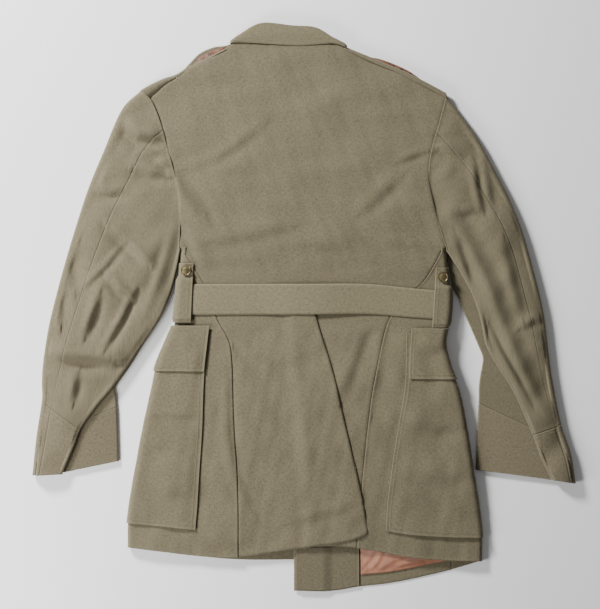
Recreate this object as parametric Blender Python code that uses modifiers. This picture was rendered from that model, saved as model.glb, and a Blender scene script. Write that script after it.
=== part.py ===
"""Officer's wool jacket laid face down, its back, belt and half-open vent on top.

The frame: +Y runs to the collar, +X to the right sleeve, +Z up from the surface.
All sizes are in millimetres until a mesh is made. Each cloth piece is an open
sheet on its middle surface, worked out from the tables, and Solidify gives it its
wall. The buttons are turned profiles and the buckle is a flat outline.
"""

import math
from collections import namedtuple

import bpy
import numpy as np

MM = 0.001

# Walls of the cloth pieces
CLOTH = 2.0
SLEEVE_CLOTH = 1.8
CUFF_CLOTH = 2.3
COLLAR_CLOTH = 1.6
LAPEL_CLOTH = 1.6
POCKET_CLOTH = 1.6
FLAP_CLOTH = 1.8
BELT_CLOTH = 2.6
CARRIER_CLOTH = 1.6
STRAP_CLOTH = 1.2
FACING_CLOTH = 1.2
LINING_CLOTH = 1.0

# Spaces between pieces
SEAM = 0.3
LAID = 0.5
ARMHOLE_SEAM = 0.9
CUFF_SEAM = 0.7

# Levels along the jacket: q runs from the hem up to the neck
Q_HEM = -370.0
Q_WAIST = 12.0
Q_ARM = 84.0
Q_NECK = 392.0
FLOOR_SEAM_IN = 45.0
LAP_RISE = 3.0

# Middle of the outline as the tables place it, which goes onto the origin
MIDDLE_X = 1.25
MIDDLE_Y = 0.5

# Colours of the cloth, metal and lining
DRAB = (0.245, 0.215, 0.150)
DRAB_LIGHT = (0.285, 0.262, 0.180)
DRAB_DARK = (0.165, 0.145, 0.100)
SALMON = (0.345, 0.190, 0.120)
BRASS = (0.300, 0.235, 0.105)
CLOTH_ROUGHNESS = 0.95
BRASS_ROUGHNESS = 0.4
BRASS_METALLIC = 0.9

Level = namedtuple("Level", "q top lift_left lift_right inner")
LEVELS = [
    # height of the back, then lifts of the fronts over what lies under them
    Level(q=-370, top=10.0, lift_left=0.0, lift_right=0.0, inner=0.0),
    Level(q=-356, top=10.2, lift_left=0.0, lift_right=0.0, inner=0.0),
    Level(q=-346, top=10.4, lift_left=0.0, lift_right=2.2, inner=0.0),
    Level(q=-334, top=10.8, lift_left=2.2, lift_right=2.2, inner=0.0),
    Level(q=-300, top=11.8, lift_left=2.2, lift_right=2.2, inner=0.0),
    Level(q=-260, top=13.2, lift_left=2.2, lift_right=2.2, inner=0.0),
    Level(q=-220, top=14.4, lift_left=2.2, lift_right=2.2, inner=0.0),
    Level(q=-180, top=15.4, lift_left=2.2, lift_right=2.2, inner=0.0),
    Level(q=-150, top=16.0, lift_left=2.2, lift_right=2.2, inner=3.4),
    Level(q=-122, top=16.3, lift_left=2.2, lift_right=2.2, inner=3.4),
    Level(q=-108, top=16.2, lift_left=2.2, lift_right=4.6, inner=3.4),
    Level(q=-95, top=16.0, lift_left=4.6, lift_right=4.6, inner=3.4),
    Level(q=-64, top=15.0, lift_left=4.6, lift_right=4.6, inner=3.4),
    Level(q=-50, top=14.4, lift_left=4.6, lift_right=4.6, inner=3.4),
    Level(q=-38, top=13.8, lift_left=4.6, lift_right=4.6, inner=5.8),
    Level(q=-27, top=13.25, lift_left=4.6, lift_right=4.6, inner=5.8),
    Level(q=-22, top=13.0, lift_left=3.3, lift_right=3.3, inner=5.8),
    Level(q=-5, top=12.3, lift_left=3.3, lift_right=3.3, inner=5.8),
    Level(q=12, top=12.0, lift_left=3.3, lift_right=3.3, inner=5.8),
    Level(q=26, top=12.1, lift_left=3.3, lift_right=3.3, inner=5.8),
    Level(q=38, top=12.5, lift_left=3.3, lift_right=3.3, inner=5.8),
    Level(q=50, top=13.1, lift_left=0.0, lift_right=0.0, inner=3.4),
    Level(q=84, top=15.0, lift_left=0.0, lift_right=0.0, inner=3.4),
    Level(q=124, top=16.0, lift_left=0.0, lift_right=0.0, inner=3.4),
    Level(q=160, top=16.2, lift_left=0.0, lift_right=0.0, inner=2.1),
    Level(q=205, top=15.8, lift_left=0.0, lift_right=0.0, inner=2.1),
    Level(q=250, top=14.8, lift_left=0.0, lift_right=0.0, inner=2.1),
    Level(q=295, top=13.2, lift_left=0.0, lift_right=0.0, inner=2.1),
    Level(q=325, top=12.2, lift_left=2.9, lift_right=2.9, inner=2.9),
    Level(q=360, top=11.4, lift_left=2.9, lift_right=2.9, inner=2.9),
    Level(q=392, top=10.9, lift_left=2.9, lift_right=2.9, inner=2.9),
]

Girth = namedtuple("Girth", "q edge seam pocket flap")
LEFT_GIRTH = [
    # how far out the side, its back seam, the pocket's and the flap's edge lie
    Girth(q=84, edge=183.5, seam=174, pocket=146, flap=140),
    Girth(q=60, edge=184.2, seam=163, pocket=146, flap=140),
    Girth(q=36, edge=185, seam=150, pocket=146, flap=140),
    Girth(q=12, edge=187, seam=141, pocket=146, flap=140),
    Girth(q=-20, edge=191, seam=128, pocket=146, flap=140),
    Girth(q=-50, edge=203, seam=112, pocket=146, flap=143),
    Girth(q=-84, edge=217, seam=107, pocket=147, flap=147),
    Girth(q=-120, edge=225, seam=106, pocket=149, flap=150),
    Girth(q=-180, edge=238, seam=104, pocket=151, flap=150),
    Girth(q=-240, edge=249, seam=100, pocket=155, flap=150),
    Girth(q=-300, edge=259, seam=98, pocket=159, flap=150),
    Girth(q=-340, edge=263, seam=98, pocket=162, flap=150),
    Girth(q=-370, edge=263, seam=98, pocket=162, flap=150),
]
RIGHT_GIRTH = [
    Girth(q=84, edge=214, seam=205, pocket=154, flap=163),
    Girth(q=60, edge=216, seam=194, pocket=154, flap=163),
    Girth(q=36, edge=218, seam=178, pocket=154, flap=163),
    Girth(q=12, edge=218.5, seam=150, pocket=154, flap=163),
    Girth(q=-20, edge=216, seam=128, pocket=154, flap=163),
    Girth(q=-50, edge=210, seam=119, pocket=154, flap=161),
    Girth(q=-84, edge=217, seam=112, pocket=154, flap=159),
    Girth(q=-120, edge=231, seam=105, pocket=152, flap=159),
    Girth(q=-180, edge=244, seam=97, pocket=142, flap=159),
    Girth(q=-240, edge=254, seam=91, pocket=133, flap=159),
    Girth(q=-300, edge=264, seam=86, pocket=126, flap=159),
    Girth(q=-340, edge=268, seam=83, pocket=124, flap=159),
    Girth(q=-370, edge=268, seam=81, pocket=124, flap=159),
]

Bend = namedtuple("Bend", "y out")
LEFT_ARMHOLE = [
    Bend(y=84, out=186),
    Bend(y=142, out=185),
    Bend(y=177, out=187),
    Bend(y=211, out=196),
    Bend(y=244, out=205),
    Bend(y=279, out=215),
    Bend(y=315, out=229),
    Bend(y=330, out=238),
]
RIGHT_ARMHOLE = [
    Bend(y=84, out=217),
    Bend(y=110, out=208),
    Bend(y=140, out=199),
    Bend(y=170, out=192),
    Bend(y=198, out=188),
    Bend(y=222, out=190),
    Bend(y=250, out=196),
    Bend(y=280, out=205),
    Bend(y=310, out=213),
    Bend(y=330, out=219),
]

Hem = namedtuple("Hem", "x y")
BACK_HEM_LEFT = [
    Hem(x=-263, y=-360),
    Hem(x=-206, y=-367),
    Hem(x=-156, y=-373),
    Hem(x=-98, y=-375),
    Hem(x=-44, y=-367),
    Hem(x=24, y=-357),
    Hem(x=76, y=-348),
    Hem(x=98, y=-339),
]
BACK_HEM_RIGHT = [
    Hem(x=20, y=-357),
    Hem(x=81, y=-361),
    Hem(x=112, y=-366),
    Hem(x=154, y=-374),
    Hem(x=207, y=-379),
    Hem(x=268, y=-381),
]
FRONT_HEM_LEFT = [
    Hem(x=-263, y=-360),
    Hem(x=-205, y=-368),
    Hem(x=-116, y=-378),
    Hem(x=22, y=-379),
]
FRONT_HEM_RIGHT = [
    Hem(x=-14, y=-426),
    Hem(x=49, y=-426),
    Hem(x=85, y=-420),
    Hem(x=123, y=-416),
    Hem(x=175, y=-406),
    Hem(x=228, y=-393),
    Hem(x=268, y=-381),
]

Vent = namedtuple("Vent", "q over under")
VENT = [
    # the left skirt's open edge over the right skirt's hidden one
    Vent(q=12, over=14, under=-8),
    Vent(q=-15, over=20, under=-8),
    Vent(q=-88, over=42, under=-3),
    Vent(q=-180, over=63, under=5),
    Vent(q=-295, over=87, under=15),
    Vent(q=-370, over=98, under=20),
]

NeckSeam = namedtuple("NeckSeam", "x y")
NECK_SEAM = [
    NeckSeam(x=-110, y=378.5),
    NeckSeam(x=-100, y=384),
    NeckSeam(x=-85, y=394),
    NeckSeam(x=-50, y=401),
    NeckSeam(x=0, y=402),
    NeckSeam(x=40, y=393),
    NeckSeam(x=58, y=384),
    NeckSeam(x=68, y=378.2),
]

Shoulder = namedtuple("Shoulder", "arm neck inset_arm inset_neck")
LEFT_SHOULDER = Shoulder(arm=(-234.5, 325), neck=(-114, 387), inset_arm=12.0, inset_neck=8.0)
RIGHT_SHOULDER = Shoulder(arm=(214.5, 322), neck=(71, 387), inset_arm=8.5, inset_neck=7.0)

FrontEdge = namedtuple("FrontEdge", "q out")
LEFT_FRONT_EDGE = [
    FrontEdge(q=-370, out=-22),
    FrontEdge(q=84, out=-22),
    FrontEdge(q=109, out=-20),
    FrontEdge(q=150, out=-2),
    FrontEdge(q=300, out=68),
    FrontEdge(q=344, out=96),
    FrontEdge(q=371, out=108),
    FrontEdge(q=392, out=114),
]
RIGHT_FRONT_EDGE = [
    FrontEdge(q=-370, out=-14),
    FrontEdge(q=84, out=-14),
    FrontEdge(q=109, out=-14),
    FrontEdge(q=150, out=-4),
    FrontEdge(q=300, out=38),
    FrontEdge(q=344, out=53),
    FrontEdge(q=371, out=65),
    FrontEdge(q=392, out=71),
]

BeltEdge = namedtuple("BeltEdge", "x top bottom")
BELT_EDGES = [
    BeltEdge(x=-196, top=35.5, bottom=-10.5),
    BeltEdge(x=0, top=35.5, bottom=-10),
    BeltEdge(x=110, top=34.5, bottom=-10),
    BeltEdge(x=158, top=29.5, bottom=-14),
    BeltEdge(x=226, top=23.5, bottom=-18.5),
]

Fold = namedtuple("Fold", "where x1 y1 x2 y2 height width")
FOLDS = [
    # soft ridges, and troughs where the height is below zero
    Fold("back", x1=-182, y1=180, x2=-137, y2=136, height=-1.6, width=20),
    Fold("back", x1=-165, y1=206, x2=-56, y2=272, height=1.5, width=26),
    Fold("back", x1=84, y1=152, x2=141, y2=200, height=-1.5, width=22),
    Fold("back", x1=-131, y1=96, x2=-21, y2=115, height=1.4, width=24),
    Fold("skirt", x1=-95, y1=-56, x2=-72, y2=-79, height=1.6, width=24),
    Fold("skirt", x1=-57, y1=-79, x2=10, y2=-71, height=-1.3, width=24),
    Fold("sleeve", x1=-266, y1=270, x2=-212, y2=250, height=-3.2, width=13),
    Fold("sleeve", x1=-282, y1=110, x2=-234, y2=67, height=2.0, width=12),
    Fold("sleeve", x1=-312, y1=-11, x2=-304, y2=-64, height=-2.2, width=16),
    Fold("sleeve", x1=-366, y1=-20, x2=-356, y2=-90, height=-2.4, width=15),
    Fold("sleeve", x1=196, y1=180, x2=222, y2=208, height=2.2, width=13),
    Fold("sleeve", x1=259, y1=193, x2=268, y2=151, height=2.0, width=12),
    Fold("sleeve", x1=290, y1=-5, x2=318, y2=-75, height=2.0, width=16),
]

SleeveRow = namedtuple("SleeveRow", "outer fold under top_outer top_fold puff swing")
LEFT_SLEEVE = [
    # outer edge, folded upper edge and lower layer's edge, with the heights there
    SleeveRow((-244, 326), (-187, 86), (-187, 86), 10.9, 15.0, 1.0, 1.0),
    SleeveRow((-273, 297), (-191, 62), (-191, 61), 11.5, 13.6, 3.5, 0.75),
    SleeveRow((-300, 234), (-198, 32), (-198, 30), 12.0, 12.6, 4.5, 0.45),
    SleeveRow((-321, 180), (-205, 11), (-205, 9), 12.0, 12.4, 5.0, 0.2),
    SleeveRow((-339, 128), (-213, -9), (-214, -11), 12.0, 12.2, 5.2, 0.05),
    SleeveRow((-355, 75), (-227, -33), (-228, -35), 12.0, 12.2, 5.2, 0.0),
    SleeveRow((-370, 20), (-244, -57), (-244, -59), 12.0, 12.2, 5.0, 0.0),
    SleeveRow((-382, -30), (-264, -87), (-263, -90), 12.0, 12.2, 4.6, 0.0),
    SleeveRow((-390, -82), (-287, -119), (-283, -119), 12.0, 12.2, 4.0, 0.0),
    SleeveRow((-392, -112), (-311, -148), (-282.5, -133), 12.0, 12.2, 3.2, 0.0),
    SleeveRow((-392, -141), (-335, -182), (-281.5, -150), 12.0, 12.2, 2.4, 0.0),
    SleeveRow((-400, -195), (-345, -208), (-280, -191), 12.4, 12.6, 2.0, 0.0),
    SleeveRow((-406, -252), (-363, -250), (-279, -231), 12.4, 12.6, 1.2, 0.0),
]
RIGHT_SLEEVE = [
    SleeveRow((218, 318), (221, 86), (221, 86), 10.9, 15.0, 1.0, 1.0),
    SleeveRow((261, 257), (237, 58), (229, 32), 11.5, 13.6, 3.5, 0.55),
    SleeveRow((289, 204), (247, 38), (236.5, 14), 12.0, 12.8, 4.5, 0.25),
    SleeveRow((311, 160), (256, 18), (243, -6), 12.0, 12.6, 5.0, 0.1),
    SleeveRow((328, 116), (264, -6), (252, -28), 12.0, 12.4, 5.2, 0.0),
    SleeveRow((342, 68), (270, -31), (264, -56), 12.0, 12.2, 5.2, 0.0),
    SleeveRow((353, 26), (274, -52), (271, -74), 12.0, 12.2, 5.0, 0.0),
    SleeveRow((361, -11), (282, -70), (270, -88), 12.0, 12.2, 4.6, 0.0),
    SleeveRow((366, -50), (294, -90), (267.5, -101), 12.0, 12.2, 4.0, 0.0),
    SleeveRow((373, -104), (318, -129), (265.5, -118), 12.0, 12.2, 3.4, 0.0),
    SleeveRow((387, -176), (345, -190), (265, -144), 12.0, 12.2, 2.6, 0.0),
    SleeveRow((401, -219), (358, -225), (263, -194), 12.4, 12.6, 2.0, 0.0),
    SleeveRow((408.5, -264), (374, -258), (261, -244), 12.4, 12.6, 1.2, 0.0),
]
CUFF_ROW = 10
SLEEVE_FLOOR = 0.95
CUFF_FLOOR = 1.2
PLEAT_RISE = 3.3
PLEAT_DEPTH = 15.0

CollarStop = namedtuple("CollarStop", "turn x edge_y fold_y seam_y edge_x fold_x seam_x")
COLLAR = [
    # turn is 90 over the back, -90 on the side that faces the surface
    CollarStop(-90, 0, 316, 344, 342, -128, -86, -90),
    CollarStop(-90, 0, 352, 374, 371, -121, -97, -101),
    CollarStop(-60, -103, 381, 392, 386, 0, 0, 0),
    CollarStop(-20, -103, 389, 398, 390, 0, 0, 0),
    CollarStop(20, -103, 391, 401, 391, 0, 0, 0),
    CollarStop(60, -103, 394, 405, 394, 0, 0, 0),
    CollarStop(90, 0, 396, 413, 399, -90, -92, -92),
    CollarStop(90, 0, 396.5, 424, 404, -70, -71, -71),
    CollarStop(90, 0, 395, 427, 405.5, -45, -52, -50),
    CollarStop(90, 0, 393, 423, 405.5, -8, -18, -12),
    CollarStop(90, 0, 395, 420, 402, 26, 18, 20),
    CollarStop(90, 0, 394, 407, 394, 47, 43, 45),
    CollarStop(120, 59, 391, 400, 390, 0, 0, 0),
    CollarStop(160, 59, 388, 396, 387, 0, 0, 0),
    CollarStop(200, 59, 385, 393, 386, 0, 0, 0),
    CollarStop(240, 59, 379, 390, 384, 0, 0, 0),
    CollarStop(270, 0, 350, 371, 368, 78, 54, 58),
    CollarStop(270, 0, 314, 341, 339, 85, 43, 47),
]
COLLAR_MIDDLE = 7.55
COLLAR_OUT = 6.6
COLLAR_IN = 3.5

Rung = namedtuple("Rung", "outer_x outer_y inner_x inner_y")
LEFT_STRAP = [
    Rung(-222, 318, -202, 282),
    Rung(-205, 334, -188, 298),
    Rung(-188, 350, -171, 313),
    Rung(-172, 367, -155, 330),
    Rung(-156, 383, -140, 345),
    Rung(-136, 392, -133, 358),
    Rung(-121, 393, -124, 374),
]
RIGHT_STRAP = [
    Rung(210, 312, 196, 276),
    Rung(183, 339, 168, 298),
    Rung(162, 355, 148, 316),
    Rung(142, 365, 128, 328),
    Rung(118, 374, 106, 340),
    Rung(100, 378, 94, 352),
    Rung(84, 383, 88, 366),
]
LEFT_LAPEL = [
    Rung(11, 118, 19, 115),
    Rung(-38, 168, -8, 174),
    Rung(-88, 228, -38, 240),
    Rung(-132, 276, -66, 300),
    Rung(-143, 300, -80, 332),
]
RIGHT_LAPEL = [
    Rung(24, 158, 9, 168),
    Rung(40, 176, 12, 186),
    Rung(76, 228, 24, 240),
    Rung(104, 276, 38, 300),
    Rung(106, 298, 46, 330),
]

CarrierRow = namedtuple("CarrierRow", "q over")
LEFT_CARRIER = [
    # over is 1 where the tab lies over the belt and 0 where it lies on the panel
    CarrierRow(67, 0),
    CarrierRow(50, 0),
    CarrierRow(40, 1),
    CarrierRow(26, 1),
    CarrierRow(12, 1),
    CarrierRow(-5, 1),
    CarrierRow(-15, 1),
    CarrierRow(-22, 0.3),
]
RIGHT_CARRIER = [
    CarrierRow(60, 0),
    CarrierRow(38, 0),
    CarrierRow(28, 1),
    CarrierRow(12, 1),
    CarrierRow(-5, 1),
    CarrierRow(-22, 1),
    CarrierRow(-30, 0.3),
]

FrontButton = namedtuple("FrontButton", "x y")
FRONT_BUTTONS = [
    FrontButton(4, 100),
    FrontButton(4, 58),
    FrontButton(4, -62),
    FrontButton(4, -122),
]
FRONT_BUTTON_RADIUS = 11.0
FRONT_BUTTON_HEIGHT = 2.8
FRONT_BUTTON_BEVEL = 0.7
CARRIER_BUTTONS = {"carrier_button_left": (-175.5, 56), "carrier_button_right": (209, 46)}
CARRIER_BUTTON_RADIUS = 7.2
CARRIER_BUTTON_HEIGHT = 4.2
CARRIER_BUTTON_BRIM = 1.4
BUTTON_GAP = 0.4
BUTTON_STEPS = 20
BUCKLE_X = 4.0
BUCKLE_WIDTH = 46.0
BUCKLE_DEPTH = 54.0
BUCKLE_BAR = 5.5
BUCKLE_WALL = 2.2


def through(rows, key, column):
    """Smooth function of one column of a table, read along another."""
    ordered = sorted(rows, key=lambda row: getattr(row, key))
    at = np.array([getattr(row, key) for row in ordered], dtype=float)
    to = np.array([getattr(row, column) for row in ordered], dtype=float)
    slopes = np.gradient(to, at)

    def value(where):
        where = min(max(where, at[0]), at[-1])
        i = min(int(np.searchsorted(at, where, side="right")) - 1, len(at) - 2)
        span = at[i + 1] - at[i]
        t = (where - at[i]) / span
        rise = to[i + 1] - to[i]
        leave = slopes[i] * span
        arrive = slopes[i + 1] * span
        square = 3 * rise - 2 * leave - arrive
        cube = leave + arrive - 2 * rise
        return to[i] + leave * t + square * t**2 + cube * t**3

    return value


def straight(rows, key, column):
    """Function that joins the rows of a table by straight lines."""
    ordered = sorted(rows, key=lambda row: getattr(row, key))
    at = [getattr(row, key) for row in ordered]
    to = [getattr(row, column) for row in ordered]
    return lambda where: float(np.interp(where, at, to))


def mix(first, second, share):
    return tuple(a + (b - a) * share for a, b in zip(first, second))


def smooth(low, high, value):
    t = min(max((value - low) / (high - low), 0.0), 1.0)
    return t * t * (3 - 2 * t)


def relief(where, x, y):
    """Height that the large folds of one region add at a place."""
    total = 0.0
    for fold in FOLDS:
        if fold.where != where:
            continue
        run = (fold.x2 - fold.x1, fold.y2 - fold.y1)
        length = math.hypot(*run)
        t = ((x - fold.x1) * run[0] + (y - fold.y1) * run[1]) / length**2
        off = ((x - fold.x1) * run[1] - (y - fold.y1) * run[0]) / length
        past = max(-t, t - 1, 0.0) * length
        total += fold.height * math.exp(-(off**2 + past**2 * 0.5) / fold.width**2)
    return total


top_of = straight(LEVELS, "q", "top")
inner_lift_of = straight(LEVELS, "q", "inner")
vent_over = through(VENT, "q", "over")
vent_under = through(VENT, "q", "under")
neck_seam = through(NECK_SEAM, "x", "y")
belt_top = through(BELT_EDGES, "x", "top")
belt_bottom = through(BELT_EDGES, "x", "bottom")


def shoulder_line(shoulder, share, gap=0.0):
    """Place on the shoulder seam, from the armhole at 0 to the neck at 1."""
    run = unit(np.array(shoulder.neck, dtype=float) - np.array(shoulder.arm, dtype=float))
    inward = np.array([run[1], -run[0]]) * math.copysign(1, run[0])
    inset = shoulder.inset_arm + (shoulder.inset_neck - shoulder.inset_arm) * share + gap
    return np.array(mix(shoulder.arm, shoulder.neck, share)) + inward * inset


def back_top(x):
    """Upper edge of the back: the shoulder seams and the neck seam."""
    for shoulder in (LEFT_SHOULDER, RIGHT_SHOULDER):
        arm = shoulder_line(shoulder, 0.0, SEAM)
        neck = shoulder_line(shoulder, 1.0, SEAM)
        if abs(x) >= abs(neck[0]) and x * neck[0] > 0:
            return float(arm[1] + (neck[1] - arm[1]) * (x - arm[0]) / (neck[0] - arm[0]))
    return neck_seam(x)


def hem_share(q):
    """How much of the hem's own line a row at q takes on."""
    return max((Q_WAIST - q) / (Q_WAIST - Q_HEM), 0.0) ** 2


def back_height(x, q):
    """Middle of the back's and the skirts' cloth above the surface."""
    where = "back" if q > Q_WAIST else "skirt"
    fade = smooth(45, 75, q) + smooth(-45, -60, q)
    return top_of(q) + fade * relief(where, x, q)


class Side:
    """One side of the jacket: the side panel's surface and what shares it."""

    def __init__(self, name, sign, girth, armhole, lift, hem_top, hem_floor):
        self.name = name
        self.sign = sign
        self.edge = through(girth, "q", "edge")
        self.seam = through(girth, "q", "seam")
        self.pocket = through(girth, "q", "pocket")
        self.flap = through(girth, "q", "flap")
        self.armhole = through(armhole, "y", "out")
        self.lift = straight(LEVELS, "q", lift)
        self.hem_top = through(hem_top, "x", "y")
        self.hem_floor = through(hem_floor, "x", "y")

    def radius(self, q):
        return (top_of(q) - CLOTH / 2 - self.lift(q)) / 2

    def run_in(self, q, out):
        """Length round the side from its outermost line to a place on top."""
        radius = self.radius(q)
        return math.pi * radius / 2 + max(self.edge(q) - out - radius, 0.4)

    def point(self, q, s, proud=0.0):
        """Point s from the outermost line, over the top or, below zero, under."""
        radius = self.radius(q)
        middle = top_of(q) - radius
        quarter = math.pi * radius / 2
        if abs(s) <= quarter:
            angle = s / radius
            out = self.edge(q) - radius + (radius + proud) * math.cos(angle)
            z = middle + (radius + proud) * math.sin(angle)
        else:
            out = self.edge(q) - radius - (abs(s) - quarter)
            z = middle + math.copysign(radius + proud, s)
        x = self.sign * out
        if s > quarter:
            z += (back_height(x, q) - top_of(q)) * smooth(0, 25, s - quarter)
        hem = self.hem_top(x) if s >= 0 else self.hem_floor(x)
        return (x, q + hem_share(q) * (hem - Q_HEM), z)

    def floor_seam(self, q):
        """Place on the under side where the side panel meets the front."""
        radius = self.radius(q)
        return -(math.pi * radius / 2 + FLOOR_SEAM_IN - radius)

    def round_stops(self, q, start, end, top_steps, floor_steps):
        """Stops from start on top round the side to end on the under side."""
        quarter = math.pi * self.radius(q) / 2
        stops = []
        if top_steps:
            stops += [start + (quarter - start) * i / top_steps for i in range(top_steps)]
        stops += [quarter * (1 - i / 3) for i in range(7 if floor_steps else 4)]
        if floor_steps:
            stops += [-quarter + (end + quarter) * (i + 1) / floor_steps for i in range(floor_steps)]
        return stops


LEFT = Side("left", -1, LEFT_GIRTH, LEFT_ARMHOLE, "lift_left", BACK_HEM_LEFT, FRONT_HEM_LEFT)
RIGHT = Side("right", 1, RIGHT_GIRTH, RIGHT_ARMHOLE, "lift_right", BACK_HEM_RIGHT, FRONT_HEM_RIGHT)


def fresh_collection(name):
    collection = bpy.data.collections.new(name)
    bpy.context.scene.collection.children.link(collection)
    return collection


def finish(name, colour, roughness, metallic=0.0):
    """Plain material for one piece."""
    material = bpy.data.materials.new(name)
    material.use_nodes = True
    shader = material.node_tree.nodes["Principled BSDF"]
    shader.inputs["Base Color"].default_value = (*colour, 1.0)
    shader.inputs["Roughness"].default_value = roughness
    shader.inputs["Metallic"].default_value = metallic
    return material


def unit(vectors):
    lengths = np.linalg.norm(vectors, axis=-1, keepdims=True)
    return vectors / np.maximum(lengths, 1e-9)


def add_object(name, data, material, collection, place=(0.0, 0.0, 0.0)):
    """Object for a mesh or curve, at a place given in the tables' own frame."""
    data.materials.append(material)
    piece = bpy.data.objects.new(name, data)
    piece.location = ((place[0] - MIDDLE_X) * MM, (place[1] - MIDDLE_Y) * MM, place[2] * MM)
    collection.objects.link(piece)
    return piece


def cloth(name, rows, wall, colour, collection):
    """Piece of cloth: rows of points on its middle surface, with a wall around them."""
    grid = np.array(rows, dtype=float)
    lines, columns = grid.shape[:2]
    quads = []
    for i in range(lines - 1):
        for j in range(columns - 1):
            corner = i * columns + j
            quads.append((corner, corner + 1, corner + columns + 1, corner + columns))
    sheet = bpy.data.meshes.new(name)
    sheet.from_pydata((grid.reshape(-1, 3) * MM).tolist(), [], quads)
    sheet.shade_smooth()
    piece = add_object(name, sheet, finish(name, colour, CLOTH_ROUGHNESS), collection)
    thick = piece.modifiers.new("wall", "SOLIDIFY")
    thick.thickness = wall * MM
    thick.offset = 0.0
    thick.use_even_offset = True
    thick.use_quality_normals = True
    return piece


def skirt_levels(low, high):
    """Rows of the level table between two places along the jacket."""
    stops = [level.q for level in LEVELS if low < level.q < high]
    return [low] + stops + [high]


def side_panel(side, collection):
    rows = []
    for q in skirt_levels(Q_HEM, Q_ARM):
        seam = side.run_in(q, side.seam(q) + SEAM / 2)
        stops = side.round_stops(q, seam, side.floor_seam(q) + SEAM / 2, 3, 2)
        rows.append([side.point(q, s) for s in stops])
    cloth(f"side_{side.name}", rows, CLOTH, DRAB, collection)


def armhole_stop(shoulder, q):
    """Height on the armhole that a row at q starts from, up to the shoulder."""
    share = (q - Q_ARM) / (Q_NECK - Q_ARM)
    return Q_ARM + share * (shoulder_line(shoulder, 0.0)[1] - Q_ARM)


def lap(side, q, x):
    """Rise of the right front where it lies over the left one."""
    if side is LEFT:
        return 0.0
    return LAP_RISE * smooth(240, 200, q) * smooth(46, 28, x)


def front_point(side, shoulder, edge_of, u, q, proud=0.0):
    """Point of a front, from the side seam at u = 0 to its front edge at 1."""
    if q <= Q_ARM:
        start = side.point(q, side.floor_seam(q) - SEAM / 2)
        out = side.sign * start[0]
        start_y = q
    else:
        start_y = armhole_stop(shoulder, q)
        seam_out = side.edge(Q_ARM) - FLOOR_SEAM_IN
        armhole = side.armhole(start_y) - ARMHOLE_SEAM / 2
        out = armhole + (seam_out - armhole) * smooth(Q_ARM + 34, Q_ARM, start_y)
    x = side.sign * (out + (edge_of(q) - out) * u)
    y = start_y + (min(q, shoulder.neck[1]) - start_y) * u
    if q <= Q_ARM:
        y = q + hem_share(q) * (side.hem_floor(x) - Q_HEM)
    inward = smooth(0.42, 0.58, u) if q <= Q_ARM else smooth(0.2, 0.42, u)
    lift = side.lift(q) * (1 - inward) + inner_lift_of(q) * inward
    z = CLOTH / 2 + lift + lap(side, q, x)
    return (x, y, z + proud)


FRONT_STOPS = [0.0, 0.2, 0.42, 0.5, 0.58, 0.7, 0.8, 0.9, 1.0]


def front(side, shoulder, edge_of, collection):
    rows = []
    for q in skirt_levels(Q_HEM, Q_NECK - 14):
        rows.append([front_point(side, shoulder, edge_of, u, q) for u in FRONT_STOPS])
    inward = unit(shoulder_line(shoulder, 0.5) - np.array(mix(shoulder.arm, shoulder.neck, 0.5)))
    low = CLOTH / 2 + side.lift(Q_NECK)
    turn = (top_of(Q_NECK) - low) / 2
    for step in range(5):
        angle = math.pi * step / 4
        row = []
        for u in FRONT_STOPS:
            line = np.array(mix(shoulder.arm, shoulder.neck, u))
            spot = line + inward * turn * (1 - math.sin(angle))
            row.append((spot[0], spot[1], low + turn * (1 - math.cos(angle))))
        rows.append(row)
    rows.append([(*shoulder_line(shoulder, u), low + 2 * turn) for u in FRONT_STOPS])
    cloth(f"front_{side.name}", rows, CLOTH, DRAB, collection)


def back_row(q, stops):
    """Row of the back from its left edge to its right one."""
    share = max((q - Q_ARM) / (Q_NECK - Q_ARM), 0.0)
    ends = []
    tops = []
    for side, shoulder in ((LEFT, LEFT_SHOULDER), (RIGHT, RIGHT_SHOULDER)):
        tops.append(shoulder_line(shoulder, 0.0, SEAM))
        if q <= Q_ARM:
            out = side.seam(q) - SEAM / 2
            ends.append((side.sign * out, q))
        else:
            y = armhole_stop(shoulder, q)
            armhole = side.armhole(y) - ARMHOLE_SEAM / 2
            seam = side.seam(Q_ARM)
            out = armhole + (seam - armhole) * smooth(Q_ARM + 26, Q_ARM, y)
            ends.append((side.sign * out, y))
    row = []
    for u in stops:
        x, y = mix(ends[0], ends[1], u)
        chord = tops[0][1] + (tops[1][1] - tops[0][1]) * (x - tops[0][0]) / (tops[1][0] - tops[0][0])
        y += (back_top(x) - chord) * share**1.5
        row.append((x, y, back_height(x, q)))
    return row


def back(collection):
    left = shoulder_line(LEFT_SHOULDER, 0.0)[0]
    right = shoulder_line(RIGHT_SHOULDER, 0.0)[0]
    necks = []
    for shoulder in (LEFT_SHOULDER, RIGHT_SHOULDER):
        necks.append((shoulder_line(shoulder, 1.0, SEAM)[0] - left) / (right - left))
    stops = [necks[0] * i / 4 for i in range(4)]
    stops += [necks[0] + (necks[1] - necks[0]) * i / 7 for i in range(7)]
    stops += [necks[1] + (1 - necks[1]) * i / 5 for i in range(6)]
    rows = [back_row(q, stops) for q in skirt_levels(Q_WAIST, Q_NECK)]
    cloth("back", rows, CLOTH, DRAB, collection)


def back_skirt_left(collection):
    rows = []
    for q in skirt_levels(Q_HEM, Q_WAIST - SEAM):
        left = -(LEFT.seam(q) - SEAM / 2)
        row = []
        for i in range(10):
            x = left + (vent_over(q) - left) * i / 9
            rise = LAP_RISE * smooth(vent_under(q) - 26, vent_under(q) - 3, x)
            y = q + hem_share(q) * (LEFT.hem_top(x) - Q_HEM)
            row.append((x, y, back_height(x, q) + rise))
        rows.append(row)
    cloth("back_skirt_left", rows, CLOTH, DRAB, collection)


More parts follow.
